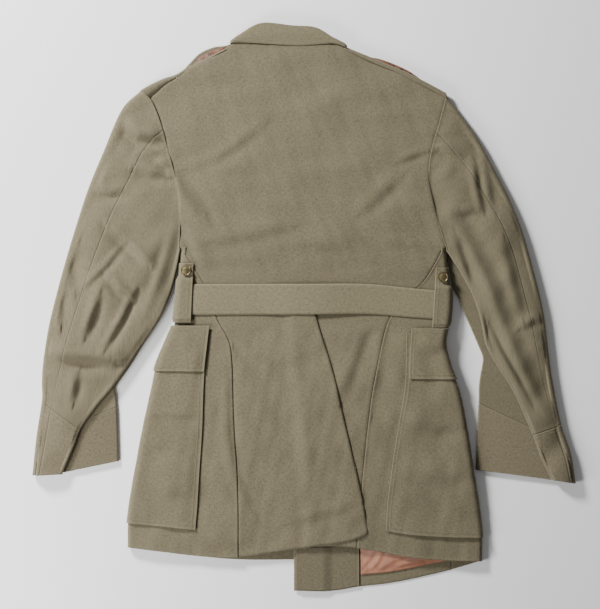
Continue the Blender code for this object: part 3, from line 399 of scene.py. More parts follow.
LEVELS = Table(
    "q top lift_left lift_right inner",
    (-370, 10.0, 0.0, 0.0, 0.0),
    (-356, 10.2, 0.0, 0.0, 0.0),
    (-346, 10.4, 0.0, 2.2, 0.0),
    (-334, 10.8, 2.2, 2.2, 0.0),
    (-300, 11.8, 2.2, 2.2, 0.0),
    (-260, 13.2, 2.2, 2.2, 0.0),
    (-220, 14.4, 2.2, 2.2, 0.0),
    (-180, 15.4, 2.2, 2.2, 0.0),
    (-150, 16.0, 2.2, 2.2, 3.4),
    (-122, 16.3, 2.2, 2.2, 3.4),
    (-108, 16.2, 2.2, 4.6, 3.4),
    (-95, 16.0, 4.6, 4.6, 3.4),
    (-64, 15.0, 4.6, 4.6, 3.4),
    (-50, 14.4, 4.6, 4.6, 3.4),
    (-38, 13.8, 4.6, 4.6, 5.8),
    (-27, 13.25, 4.6, 4.6, 5.8),
    (-22, 13.0, 3.3, 3.3, 5.8),
    (12, 12.0, 3.3, 3.3, 5.8),
    (26, 12.1, 3.3, 3.3, 5.8),
    (38, 12.5, 3.3, 3.3, 5.8),
    (50, 13.1, 0.0, 0.0, 3.4),
    (84, 15.0, 0.0, 0.0, 3.4),
    (124, 16.0, 0.0, 0.0, 3.4),
    (160, 16.2, 0.0, 0.0, 2.1),
    (205, 15.8, 0.0, 0.0, 2.1),
    (250, 14.8, 0.0, 0.0, 2.1),
    (295, 13.2, 0.0, 0.0, 2.1),
    (325, 12.2, 2.9, 2.9, 2.9),
    (360, 11.4, 2.9, 2.9, 2.9),
    (392, 10.9, 2.9, 2.9, 2.9),
)
LEFT_GIRTH = Table(
    "q edge seam pocket flap",
    (84, 183.5, 179.5, 146, 140),
    (60, 184.2, 164.5, 146, 140),
    (36, 185, 150, 146, 140),
    (12, 187, 141, 146, 140),
    (-20, 191, 128, 146, 140),
    (-50, 203, 112, 146, 143),
    (-84, 217, 107, 147, 147),
    (-120, 225, 106, 149, 150),
    (-180, 238, 104, 151, 150),
    (-240, 249, 100, 155, 150),
    (-300, 259, 98, 159, 150),
    (-340, 263, 98, 162, 150),
    (-370, 263, 98, 162, 150),
)
RIGHT_GIRTH = Table(
    "q edge seam pocket flap",
    (84, 214, 207, 154, 163),
    (60, 216, 194, 154, 163),
    (36, 218, 178, 154, 163),
    (12, 218.5, 150, 154, 163),
    (-20, 216, 128, 154, 163),
    (-50, 210, 119, 154, 161),
    (-84, 217, 112, 154, 159),
    (-120, 231, 105, 152, 159),
    (-180, 244, 97, 142, 159),
    (-240, 254, 91, 133, 159),
    (-300, 264, 86, 126, 159),
    (-340, 268, 83, 124, 159),
    (-370, 268, 81, 124, 159),
)
LEFT_ARMHOLE = Table(
    "y out",
    (84, 186),
    (142, 185),
    (177, 187),
    (211, 196),
    (244, 205),
    (279, 215),
    (299, 222.5),
    (314.5, 231),
    (326, 243.5),
)
RIGHT_ARMHOLE = Table(
    "y out",
    (84, 217),
    (110, 208),
    (140, 199),
    (170, 192),
    (198, 188),
    (222, 190),
    (250, 196),
    (280, 205),
    (310, 213),
    (330, 219),
)
BACK_HEM_LEFT = Table(
    "x y",
    (-263, -360),
    (-206, -367),
    (-156, -373),
    (-98, -375),
    (-44, -367),
    (24, -357),
    (76, -348),
    (98, -339),
)
BACK_HEM_RIGHT = Table(
    "x y",
    (20, -357),
    (81, -361),
    (112, -366),
    (154, -374),
    (207, -379),
    (268, -381),
)
FRONT_HEM_LEFT = Table("x y", (-263, -360), (-205, -368), (-116, -378), (22, -379))
FRONT_HEM_RIGHT = Table(
    "x y",
    (-14, -426),
    (49, -426),
    (85, -420),
    (123, -416),
    (175, -406),
    (228, -393),
    (268, -381),
)
VENT = Table(
    "q over under",
    (12, 14, -8),
    (-15, 20, -8),
    (-88, 42, -3),
    (-180, 63, 5),
    (-295, 87, 15),
    (-370, 98, 20),
)
NECK_SEAM = Table(
    "x y",
    (-113, 391),
    (-104, 398),
    (-92, 400.5),
    (-50, 402),
    (0, 403),
    (34, 399),
    (52, 396),
    (62, 390),
)
LEFT_SHOULDER_FOLD = Table(
    "x y inset",
    (-244, 326, 13.5),
    (-229.8, 334, 12.5),
    (-209.5, 343.5, 8),
    (-189, 350.5, 3.2),
    (-172, 361.8, 2.0),
    (-148, 372.6, 1.7),
    (-114, 390, 1.7),
)
RIGHT_SHOULDER_FOLD = Table(
    "x y inset",
    (214.5, 322, 8),
    (172, 344.5, 7),
    (142, 358.5, 6),
    (115, 369.5, 6),
    (98, 377, 6),
    (82, 383.5, 5),
    (62, 391.5, 3),
)
LEFT_FRONT_EDGE = Table(
    "q out",
    (-370, -22),
    (84, -22),
    (109, -20),
    (150, -2),
    (300, 68),
    (344, 96),
    (371, 108),
    (392, 114),
)
RIGHT_FRONT_EDGE = Table(
    "q out",
    (-370, -14),
    (84, -14),
    (109, -14),
    (150, -4),
    (300, 38),
    (344, 53),
    (371, 65),
    (392, 71),
)
BELT_EDGES = Table(
    "x top bottom",
    (-196, 35.5, -10.5),
    (0, 35.5, -10),
    (110, 34.5, -10),
    (158, 29.5, -14),
    (226, 23.5, -18.5),
)

top_of = LEVELS.run("q", "top")
inner_of = LEVELS.run("q", "inner", level=True)
vent_over = VENT.run("q", "over")
vent_under = VENT.run("q", "under")
neck_seam = NECK_SEAM.run("x", "y")
belt_top = BELT_EDGES.run("x", "top")
belt_bottom = BELT_EDGES.run("x", "bottom")
back_swell = Unevenness(seed=11, depth=1.3)
skirt_swell = Unevenness(seed=12, depth=1.3)
pocket_swell = Unevenness(seed=13, depth=0.8)
sleeve_swell = Unevenness(seed=14, depth=2.2)


def back_height(x: Array, q: Array) -> Array:
    """Middle of the back's and the skirts' cloth above the floor.

    Args:
        x: Places across the jacket.
        q: Places along it.

    Returns:
        The height at each place.
    """
    fade = smooth(40, 62, q) + smooth(-26, -44, q)
    above = relief(Zone.BACK, x, q) + back_swell.rise(x, q)
    below = relief(Zone.SKIRT, x, q) + skirt_swell.rise(x, q)
    return top_of(q) + fade * np.where(q > Q_WAIST, above, below)


def hem_share(q: Array) -> Array:
    """How much of the hem's own line a row at q takes on."""
    return np.maximum((Q_WAIST - q) / (Q_WAIST - Q_HEM), 0.0) ** 2


class Shoulder:
    """The line along which the front is turned over to the back."""

    def __init__(self, fold: Table, skew: float) -> None:
        """Keep the fold's line, the seam's distance behind it and its shift at the armhole.

        Args:
            fold: The fold's line and the seam's distance behind it.
            skew: Shift of the seam's end onto the armhole.
        """
        self.skew = skew
        self.arm_x = fold.values["x"][0]
        self.neck_x = fold.values["x"][-1]
        self.fold_y = fold.run("x", "y")
        self.inset = fold.run("x", "inset")

    def line(self, share: Array | float, back: Array | float) -> tuple[Array, Array]:
        """Places along the shoulder.

        Args:
            share: 0 at the armhole, 1 at the neck.
            back: Distance from the fold, where 1 is the whole inset.

        Returns:
            Their x and y.
        """
        x = self.arm_x + (self.neck_x - self.arm_x) * np.asarray(share, dtype=float)
        y = self.fold_y(x)
        slope = (self.fold_y(x + 0.5) - self.fold_y(x - 0.5)) / 1.0
        length = np.hypot(1.0, slope)
        inset = self.inset(x) * back
        shift = self.skew * back * (1 - np.asarray(share, dtype=float)) ** 4
        return x + inset * slope / length + shift, y - inset / length

    def seam(self, share: Array | float, gap: float = 0.0) -> tuple[Array, Array]:
        """Places on the shoulder seam, or a gap below it."""
        x, y = self.line(share, 1.0)
        return x, y - gap


LEFT_SHOULDER = Shoulder(LEFT_SHOULDER_FOLD, 6.5)
RIGHT_SHOULDER = Shoulder(RIGHT_SHOULDER_FOLD, 3.7)


class Side:
    """One side of the jacket: how its cloth runs round the outermost line."""

    def __init__(
        self,
        name: str,
        sign: int,
        girth: Table,
        armhole: Table,
        shoulder: Shoulder,
        hems: tuple[Table, Table],
    ) -> None:
        """Keep the side's lines.

        Args:
            name: left or right.
            sign: -1 on the left and 1 on the right.
            girth: Edge, seam and pocket lines.
            armhole: How far out the armhole lies.
            shoulder: The shoulder on this side.
            hems: Hem lines of the back and of the front.
        """
        self.name = name
        self.sign = sign
        self.edge = girth.run("q", "edge")
        self.seam = girth.run("q", "seam")
        self.pocket = girth.run("q", "pocket")
        self.flap = girth.run("q", "flap")
        self.armhole = armhole.run("y", "out")
        self.shoulder = shoulder
        self.lift = LEVELS.run("q", f"lift_{name}", level=True)
        self.hem_top = hems[0].run("x", "y")
        self.hem_floor = hems[1].run("x", "y")

    def radius(self, q: Array) -> Array:
        """Half of the side's height at q."""
        return (top_of(q) - CLOTH / 2 - self.lift(q)) / 2

    def quarter(self, q: Array) -> Array:
        """Length of the turn from the outermost line to the top."""
        return np.pi * self.radius(q) / 2

    def run_in(self, q: Array, out: Array) -> Array:
        """Length round the side from its outermost line to a place on top."""
        radius = self.radius(q)
        return np.pi * radius / 2 + np.maximum(self.edge(q) - out - radius, 0.4)

    def point(self, q: Array, s: Array, proud: Array | float = 0.0) -> Array:
        """Points s from the outermost line, over the top or, below zero, under.

        Args:
            q: Place along the jacket.
            s: Length round the side.
            proud: Distance outside the side panel's own middle.

        Returns:
            Array of points.
        """
        q, s = np.broadcast_arrays(q, s)
        radius = self.radius(q)
        middle = top_of(q) - radius
        quarter = np.pi * radius / 2
        angle = np.clip(s, -quarter, quarter) / radius
        run = np.maximum(np.abs(s) - quarter, 0.0)
        out = self.edge(q) - radius + (radius + proud) * np.cos(angle) - run
        z = middle + (radius + proud) * np.sin(angle)
        x = self.sign * out
        z = z + np.where(s > quarter, (back_height(x, q) - top_of(q)) * smooth(0, 25, s - quarter), 0)
        hem = np.where(s >= 0, self.hem_top(x), self.hem_floor(x))
        return np.stack([x, q + hem_share(q) * (hem - Q_HEM), z], axis=-1)

    def armhole_stop(self, q: Array) -> Array:
        """Height on the armhole that a row at q starts from."""
        top = self.shoulder.seam(0.0)[1]
        return Q_ARM + (q - Q_ARM) / (Q_NECK - Q_ARM) * (top - Q_ARM)

    def back_edge(self, q: Array) -> Array:
        """How far out the back's edge lies: the side seam, then the armhole.

        Args:
            q: Places along the jacket.

        Returns:
            Distance from the middle line at each place.
        """
        y = np.where(q <= Q_ARM, q, self.armhole_stop(q))
        hole = self.armhole(y) - ARMHOLE_SEAM / 2
        blend = smooth(Q_ARM + UNDERARM, Q_ARM, y)
        return np.where(q <= Q_ARM, self.seam(q) - SEAM / 2, hole + (self.seam(Q_ARM) - hole) * blend)

    def floor_seam(self, q: Array) -> Array:
        """Place on the under side where the side panel meets the front."""
        return -(self.quarter(q) + FLOOR_SEAM_IN - self.radius(q))


LEFT = Side("left", -1, LEFT_GIRTH, LEFT_ARMHOLE, LEFT_SHOULDER, (BACK_HEM_LEFT, FRONT_HEM_LEFT))
RIGHT = Side("right", 1, RIGHT_GIRTH, RIGHT_ARMHOLE, RIGHT_SHOULDER, (BACK_HEM_RIGHT, FRONT_HEM_RIGHT))


class Nodes:
    """Small builder for a material's node tree."""

    def __init__(self, name: str) -> None:
        """Start a material with a Principled shader.

        Args:
            name: Name of the material.
        """
        self.material = bpy.data.materials.new(name)
        self.material.use_nodes = True
        self.tree = self.material.node_tree
        self.shader = self.tree.nodes["Principled BSDF"]

    def add(self, kind: str, settings: dict | None = None, **inputs: object) -> bpy.types.Node:
        """Add a node.

        Args:
            kind: Type of the node, without its ShaderNode prefix.
            settings: Values for the node's own options.
            inputs: Values or sockets by input name, with _ for a space.

        Returns:
            The node.
        """
        node = self.tree.nodes.new(f"ShaderNode{kind}")
        for key, value in (settings or {}).items():
            setattr(node, key, value)
        for key, value in inputs.items():
            self.put(node, int(key[1:]) if key[1:].isdigit() else key.replace("_", " "), value)
        return node

    def put(self, node: bpy.types.Node, key: str | int, value: object) -> None:
        """Give one input of a node a value or a link.

        Args:
            node: The node.
            key: Name or number of the input.
            value: Value or socket.
        """
        if isinstance(value, bpy.types.NodeSocket):
            self.tree.links.new(value, node.inputs[key])
        else:
            node.inputs[key].default_value = value

    def math(self, operation: str, first: object, second: object = 0.0) -> bpy.types.NodeSocket:
        """Result of one sum of two values or sockets."""
        return self.add("Math", {"operation": operation}, i0=first, i1=second).outputs[0]

    def grain(
        self, vector: object, scale: float, detail: float = 2.0, rough: float = 0.5
    ) -> bpy.types.NodeSocket:
        """Noise on a vector, from 0 to 1."""
        node = self.add("TexNoise", Vector=vector, Scale=scale, Detail=detail, Roughness=rough)
        return node.outputs["Fac"]

    def band(
        self, value: object, low: float, high: float, start: float = 0.0, end: float = 1.0
    ) -> bpy.types.NodeSocket:
        """Value carried from one range to another, and held at its ends."""
        ends = {"From_Min": low, "From_Max": high, "To_Min": start, "To_Max": end}
        node = self.add("MapRange", None, Value=value, **ends)
        return node.outputs["Result"]

    def mix(self, factor: object, first: object, second: object) -> bpy.types.NodeSocket:
        """Blend of two colours."""
        node = self.add("Mix", {"data_type": "RGBA"}, i0=factor, i6=first, i7=second)
        return node.outputs[2]


@dataclass(frozen=True)
class Wool:
    """Matt wool with a fine heathered weave and topstitching along its edges."""

    name: str
    colour: tuple[float, float, float]
    slot: str
    pale: float = 0.35

    def build(self) -> bpy.types.Material:
        """Make the material.

        Returns:
            The material.
        """
        nodes = Nodes(self.name)
        weave = nodes.add("UVMap", {"uv_map": "cloth"}).outputs[0]
        place = nodes.add("TexCoord").outputs["Object"]
        edge = nodes.add("SeparateXYZ", None, Vector=nodes.add("UVMap", {"uv_map": "edge"}).outputs[0])
        warp = nodes.add("Mapping", None, Vector=weave, Scale=(1.0, 0.28, 1.0)).outputs[0]
        weft = nodes.add("Mapping", None, Vector=weave, Scale=(0.28, 1.0, 1.0)).outputs[0]
        threads = nodes.math("ADD", nodes.grain(warp, 620, 2, 0.6), nodes.grain(weft, 620, 2, 0.6))
        heather = nodes.band(threads, 0.72, 1.28)
        flecks = nodes.band(nodes.grain(weave, 300, 2, 0.6), 0.36, 0.64)
        patches = nodes.band(nodes.grain(place, 70, 4, 0.65), 0.32, 0.68)
        fading = nodes.band(nodes.grain(place, 5, 2, 0.5), 0.3, 0.7)
        r, g, b = self.colour
        dark = (r * 0.62, g * 0.62, b * 0.60, 1.0)
        light = (r * 1.42, g * 1.41, b * 1.38, 1.0)
        warm = (r * 1.10, g * 1.03, b * 0.92, 1.0)
        colour = nodes.mix(heather, dark, light)
        colour = nodes.mix(nodes.math("MULTIPLY", flecks, 0.5), colour, light)
        shade = (r * 0.8, g * 0.8, b * 0.82, 1.0)
        colour = nodes.mix(nodes.math("MULTIPLY", nodes.band(flecks, 0.35, 0.0), 0.4), colour, shade)
        colour = nodes.mix(nodes.math("MULTIPLY", patches, 0.3), colour, warm)
        colour = nodes.mix(nodes.math("MULTIPLY", fading, 0.16), colour, light)
        worn = nodes.band(edge.outputs["X"], 0.0, 0.0026, self.pale, 0.0)
        colour = nodes.mix(worn, colour, (r * 1.75, g * 1.75, b * 1.72, 1.0))
        off = nodes.math("ABSOLUTE", nodes.math("SUBTRACT", edge.outputs["X"], STITCH_IN * MM))
        line = nodes.band(off, 0.0003, 0.0006, 1.0, 0.0)
        dash = nodes.math("FRACT", nodes.math("DIVIDE", edge.outputs["Y"], 0.0029))
        stitch = nodes.math("MULTIPLY", line, nodes.band(dash, 0.62, 0.7, 1.0, 0.0))
        thread = (r * 1.3, g * 1.28, b * 1.15, 1.0)
        colour = nodes.mix(nodes.math("MULTIPLY", stitch, 0.35), colour, thread)
        nodes.put(nodes.shader, "Base Color", colour)
        nodes.put(nodes.shader, "Roughness", 0.93)
        nodes.put(nodes.shader, "Sheen Weight", 0.18)
        nodes.put(nodes.shader, "Sheen Roughness", 0.6)
        nodes.put(nodes.shader, "Sheen Tint", (0.93, 0.89, 0.78, 1.0))
        nodes.put(nodes.shader, "Specular IOR Level", 0.25)
        ribs = {"bands_direction": "DIAGONAL"}
        twill = nodes.add("TexWave", ribs, Vector=weave, Scale=240, Distortion=3.0, Detail=1)
        height = nodes.math("ADD", nodes.math("MULTIPLY", twill.outputs["Fac"], 0.35), threads)
        height = nodes.math("ADD", height, nodes.math("MULTIPLY", stitch, 1.2))
        bump = nodes.add("Bump", None, Strength=0.55, Distance=0.0005, Height=height)
        nodes.put(nodes.shader, "Normal", bump.outputs["Normal"])
        return nodes.material


@dataclass(frozen=True)
class Satin:
    """Soft satin lining with hand stitches pulled through it and painted shade in its wrinkles."""

    name: str
    colour: tuple[float, float, float]
    slot: str
    marks: float = 0.0

    def build(self) -> bpy.types.Material:
        """Make the material.

        Returns:
            The material.
        """
        nodes = Nodes(self.name)
        weave = nodes.add("UVMap", {"uv_map": "cloth"}).outputs[0]
        place = nodes.add("TexCoord").outputs["Object"]
        r, g, b = self.colour
        # Painted wrinkle shade: the colour is darker in the hollows and lighter on the rises of the same
        # noise that the bump below uses as height.
        shade = nodes.band(nodes.grain(place, 60, 3, 0.6), 0.3, 0.7)
        colour = nodes.mix(shade, (r * 0.72, g * 0.66, b * 0.64, 1.0), (r * 1.2, g * 1.2, b * 1.22, 1.0))
        fine = nodes.band(nodes.grain(weave, 800, 2, 0.6), 0.35, 0.65)
        colour = nodes.mix(nodes.math("MULTIPLY", fine, 0.25), colour, (r * 1.4, g * 1.5, b * 1.5, 1.0))
        dots = nodes.add("TexVoronoi", None, Vector=weave, Scale=135, Randomness=0.6).outputs["Distance"]
        mark = nodes.math("MULTIPLY", nodes.band(dots, 0.3, 0.46, 1.0, 0.0), self.marks)
        colour = nodes.mix(mark, colour, (r * 0.25, g * 0.2, b * 0.2, 1.0))
        nodes.put(nodes.shader, "Base Color", colour)
        nodes.put(nodes.shader, "Roughness", 0.46)
        nodes.put(nodes.shader, "Sheen Weight", 0.1)
        nodes.put(nodes.shader, "Specular IOR Level", 0.45)
        ribs = nodes.add("TexWave", None, Vector=weave, Scale=420, Distortion=1.0)
        height = nodes.math("ADD", ribs.outputs["Fac"], nodes.math("MULTIPLY", shade, 1.5))
        bump = nodes.add("Bump", None, Strength=0.4, Distance=0.0004, Height=height)
        nodes.put(nodes.shader, "Normal", bump.outputs["Normal"])
        return nodes.material


@dataclass(frozen=True)
class Brass:
    """Dull brass, darker where it is not rubbed."""

    name: str
    colour: tuple[float, float, float]
    slot: str

    def build(self) -> bpy.types.Material:
        """Make the material.

        Returns:
            The material.
        """
        nodes = Nodes(self.name)
        place = nodes.add("TexCoord").outputs["Object"]
        r, g, b = self.colour
        tarnish = nodes.band(nodes.grain(place, 420, 4, 0.65), 0.35, 0.65)
        dark = (r * 0.45, g * 0.42, b * 0.36, 1.0)
        rubbed = (r * 1.5, g * 1.5, b * 1.5, 1.0)
        colour = nodes.mix(tarnish, dark, rubbed)
        nodes.put(nodes.shader, "Base Color", colour)
        nodes.put(nodes.shader, "Metallic", 0.85)
        nodes.put(nodes.shader, "Roughness", nodes.band(tarnish, 0.0, 1.0, 0.55, 0.3))
        scratches = nodes.grain(place, 1600, 2, 0.6)
        bump = nodes.add("Bump", None, Strength=0.25, Distance=0.0002, Height=scratches)
        nodes.put(nodes.shader, "Normal", bump.outputs["Normal"])
        return nodes.material


Finish = Wool | Satin | Brass
DRAB = Wool("drab_wool", (0.112, 0.097, 0.060), "wool")
DRAB_LIGHT = Wool("drab_wool_light", (0.140, 0.124, 0.076), "wool_light", pale=0.5)
DRAB_DARK = Wool("drab_wool_dark", (0.110, 0.094, 0.059), "wool_dark", pale=0.4)
DRAB_COLLAR = Wool("drab_wool_collar", (0.124, 0.108, 0.066), "wool", pale=0.5)
DRAB_EDGED = Wool("drab_wool_edged", (0.116, 0.101, 0.062), "wool", pale=0.5)
DRAB_PIPED = Wool("drab_wool_piped", (0.100, 0.086, 0.054), "wool_dark", pale=1.0)
SALMON = Satin("salmon_satin", (0.32, 0.135, 0.075), "lining")
# Strap lining: the same salmon satin, made darker as painted shade under the key light; its dots are
# real stitch marks.
SALMON_PAINTED_SHADE_STITCHED = Satin("salmon_satin_painted_shade_stitched", (0.165, 0.066, 0.036), "lining", marks=0.85)
BRASS = Brass("dull_brass", (0.20, 0.165, 0.085), "brass")


class Edge(Enum):
    """Sides of a sheet's grid of points."""

    FIRST_ROW = "first row"
    LAST_ROW = "last row"
    FIRST_COLUMN = "first column"
    LAST_COLUMN = "last column"


@dataclass
class Cloth:
    """One cut piece of cloth, as a grid of points on its middle surface."""

    name: str
    nodes: tuple[str, ...]
    grid: Array
    wall: float
    finish: Finish
    outward: int = 1
    rolls: dict[Edge, tuple[float, float]] = field(default_factory=dict)
    stitched: tuple[Edge, ...] = ()
    rests_on: tuple[str, ...] = ()
    groove: float = 0.14
    joined: tuple[Edge, ...] = ()

    def lengths(self) -> tuple[Array, Array]:
        """Length run so far, across the columns and along the rows.

        Returns:
            Both lengths at each point of the grid.
        """
        zeros = np.zeros(self.grid.shape[:2])
        across, along = zeros.copy(), zeros.copy()
        across[:, 1:] = np.cumsum(np.linalg.norm(np.diff(self.grid, axis=1), axis=-1), axis=1)
        along[1:, :] = np.cumsum(np.linalg.norm(np.diff(self.grid, axis=0), axis=-1), axis=0)
        return across, along

    def from_edge(self, edge: Edge, across: Array, along: Array) -> tuple[Array, Array]:
        """Distance from an edge, and the run along it.

        Args:
            edge: Side of the grid.
            across: Length run across the columns.
            along: Length run along the rows.

        Returns:
            Distance and run at each point.
        """
        if edge is Edge.FIRST_ROW:
            return along, across
        if edge is Edge.LAST_ROW:
            return along[-1:, :] - along, across
        if edge is Edge.FIRST_COLUMN:
            return across, along
        return across[:, -1:] - across, along

    def normals(self) -> Array:
        """Outward direction at each point.

        Returns:
            Directions of length 1.
        """
        run = np.gradient(self.grid, axis=0)
        turn = np.gradient(self.grid, axis=1)
        normal = np.cross(run, turn)
        length = np.linalg.norm(normal, axis=-1, keepdims=True)
        return self.outward * normal / np.maximum(length, 1e-9)

    def build(self) -> bpy.types.Object:
        """Make the sheet with its wall, finish, cut size and place in the jacket.

        Returns:
            The finished piece.
        """
        across, along = self.lengths()
        normal = self.normals()
        shift = np.zeros(across.shape)
        near = np.full(across.shape, FAR)
        beside = np.zeros(across.shape)
        for edge in Edge:
            distance, run = self.from_edge(edge, across, along)
            if edge in self.rolls:
                depth, width = self.rolls[edge]
                shift -= depth * np.exp(-((distance / width) ** 2))
            if edge in self.stitched:
                shift -= self.groove * np.exp(-(((distance - STITCH_IN) / STITCH_GROOVE_WIDTH) ** 2))
                closer = distance < near
                near = np.where(closer, distance, near)
                beside = np.where(closer, run, beside)
        points = self.grid + normal * shift[..., None]
        piece = self.mesh(points, np.stack([across, along], -1), np.stack([near, beside], -1))
        self.thicken(piece, across, along)
        self.declare(piece, across, along)
        return piece

    def mesh(self, points: Array, weave: Array, edge: Array) -> bpy.types.Object:
        """Make the object from its points and its two maps.

        Args:
            points: Points of the sheet.
            weave: Places on the cut cloth.
            edge: Distance from the stitched edge, and the run along it.

        Returns:
            The piece.
        """
        rows, columns = points.shape[:2]
        index = np.arange(rows * columns).reshape(rows, columns)
        corners = [index[:-1, :-1], index[:-1, 1:], index[1:, 1:], index[1:, :-1]]
        if self.outward > 0:
            corners.reverse()
        faces = np.stack(corners, -1).reshape(-1, 4)
        spots = points.reshape(-1, 3) - (MIDDLE_X, MIDDLE_Y, 0.0)
        label = f"{self.name}_cloth"
        sheet = bpy.data.meshes.new(label)
        sheet.from_pydata((spots * MM).tolist(), [], faces.tolist())
        for name, values in (("cloth", weave), ("edge", edge)):
            layer = sheet.uv_layers.new(name=name)
            layer.data.foreach_set("uv", (values.reshape(-1, 2)[faces.reshape(-1)] * MM).ravel())
        sheet.shade_smooth()
        sheet.materials.append(material_of(self.finish))
        piece = bpy.data.objects.new(label, sheet)
        bpy.context.scene.collection.objects.link(piece)
        return piece

    def thicken(self, piece: bpy.types.Object, across: Array, along: Array) -> None:
        """Give the sheet its wall, thinner at the very edge so that it looks rounded.

        Args:
            piece: The sheet.
            across: Length run across the columns.
            along: Length run along the rows.
        """
        near = np.full(across.shape, FAR)
        for edge in Edge:
            if edge not in self.joined:
                near = np.minimum(near, self.from_edge(edge, across, along)[0])
        weight = (EDGE_WALL + (1 - EDGE_WALL) * smooth(-0.5, EDGE_RUN, near)).ravel()
        group = piece.vertex_groups.new(name="wall")
        for index, value in enumerate(weight):
            if value < FULL_WALL:
                group.add([index], float(value), "REPLACE")
        rest = np.flatnonzero(weight >= FULL_WALL).tolist()
        if rest:
            group.add(rest, 1.0, "REPLACE")
        wall = piece.modifiers.new("wall", "SOLIDIFY")
        wall.thickness = self.wall * MM
        wall.offset = 0.0
        wall.use_quality_normals = True
        wall.vertex_group = "wall"
        if self.joined:
            even = piece.modifiers.new("shading", "WEIGHTED_NORMAL")
            even.mode = "FACE_AREA"
            even.weight = 100

    def declare(self, piece: bpy.types.Object, across: Array, along: Array) -> None:
        """Log the sheet's cut size and area, put it under the jacket's root and hide the model parts it
        stands for.

        Args:
            piece: The sheet.
            across: Length run across the columns.
            along: Length run along the rows.
        """
        width = float(across[:, -1].max()) * MM
        length = float(along[-1, :].max()) * MM
        run = np.diff(self.grid, axis=0)[:, :-1]
        turn = np.diff(self.grid, axis=1)[:-1, :]
        area = float(np.linalg.norm(np.cross(run, turn), axis=-1).sum()) * MM * MM
        area = min(max(area, 0.31 * width * length), width * length)
        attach(piece, "root")
        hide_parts(*self.nodes)
        LOG.info("%s: cut %.0f x %.0f mm, %.4f m2", self.name, width / MM, length / MM, area)


MATERIALS: dict[str, bpy.types.Material] = {}


def material_of(finish: Finish) -> bpy.types.Material:
    """Material of a finish, made once.

    Args:
        finish: The finish.

    Returns:
        The material.
    """
    if finish.name not in MATERIALS:
        MATERIALS[finish.name] = finish.build()
    return MATERIALS[finish.name]


@dataclass
class BackPanels:
    """The back above the belt and the two skirts with the open vent."""

    step: float = 3.0

    def back_top(self, x: Array) -> Array:
        """Upper edge of the back: the shoulder seams and the neck seam.

        Args:
            x: Places across the jacket.

        Returns:
            The upper edge's y at each place.
        """
        total = neck_seam(x)
        for shoulder in (LEFT_SHOULDER, RIGHT_SHOULDER):
            share = np.linspace(0, 1, 60)
            seam_x, seam_y = shoulder.seam(share, SEAM)
            order = np.argsort(seam_x)
            inside = (x - seam_x[-1]) * np.sign(seam_x[-1]) >= 0
            total = np.where(inside, np.interp(x, seam_x[order], seam_y[order]), total)
        return total

    def back(self) -> None:
        """Make the back."""
        q = Q_WAIST + (Q_NECK - Q_WAIST) * stops(390, self.step)[:, None]
        u = stops(420, self.step)[None, :]
        ends = []
        for side in (LEFT, RIGHT):
            y = np.where(q <= Q_ARM, q, side.armhole_stop(q))
            ends.append((side.sign * side.back_edge(q), y))
        x = ends[0][0] + (ends[1][0] - ends[0][0]) * u
        y = ends[0][1] + (ends[1][1] - ends[0][1]) * u
        left = LEFT.shoulder.seam(0.0, SEAM)
        right = RIGHT.shoulder.seam(0.0, SEAM)
        chord = left[1] + (right[1] - left[1]) * (x - left[0]) / (right[0] - left[0])
        share = np.maximum((q - Q_ARM) / (Q_NECK - Q_ARM), 0.0)
        inside = smooth(0, 0.12, u) * smooth(1, 0.88, u)
        y = y + (self.back_top(x) - chord) * share**1.5 * (inside + (1 - inside) * share**8)
        z = back_height(x, np.where(q > Q_ARM, y, q) * 1.0)
        z = top_of(q) + (z - top_of(np.where(q > Q_ARM, y, q)))
        rolls = {
            Edge.FIRST_COLUMN: (0.7, 3.0),
            Edge.LAST_COLUMN: (0.7, 3.0),
            Edge.LAST_ROW: (0.5, 2.5),
        }
        grid = np.stack([x, y, z], -1)
        below = ("front_left", "front_right")
        Cloth("back", ("back",), grid, CLOTH, DRAB, -1, rolls, (), below).build()

    def skirt_left(self) -> None:
        """Make the left skirt, whose open edge lies over the right one."""
        top = Q_WAIST - SEAM
        q = Q_HEM + (top - Q_HEM) * stops(top - Q_HEM, self.step)[:, None]
        left = -(LEFT.seam(q) - SEAM / 2)
        x = left + (vent_over(q) - left) * stops(180, self.step)[None, :]
        rise = LAP_RISE * smooth(vent_under(q) - 26, vent_under(q) - 3, x)
        y = q + hem_share(q) * (LEFT.hem_top(x) - Q_HEM)
        grid = np.stack([x, y, back_height(x, q) + rise], -1)
        rolls = {
            Edge.FIRST_COLUMN: (0.7, 3.0),
            Edge.LAST_COLUMN: (0.8, 2.0),
            Edge.FIRST_ROW: (0.8, 2.0),
        }
        name = "back_skirt_left"
        Cloth(name, (name,), grid, CLOTH, DRAB, -1, rolls, (), ("back_skirt_right",)).build()

    def skirt_right(self) -> None:
        """Make the right skirt, hidden in part under the left one."""
        top = Q_WAIST - SEAM
        q = Q_HEM + (top - Q_HEM) * stops(top - Q_HEM, self.step)[:, None]
        right = RIGHT.seam(q) - SEAM / 2
        x = vent_under(q) + (right - vent_under(q)) * stops(110, self.step)[None, :]
        y = q + hem_share(q) * (RIGHT.hem_top(x) - Q_HEM)
        grid = np.stack([x, y, back_height(x, q)], -1)
        rolls = {Edge.LAST_COLUMN: (0.7, 3.0), Edge.FIRST_ROW: (0.8, 2.0)}
        name = "back_skirt_right"
        Cloth(name, (name,), grid, CLOTH, DRAB, -1, rolls, (), ("front_right",)).build()

    def build(self) -> None:
        """Make all three panels."""
        self.back()
        self.skirt_left()
        self.skirt_right()


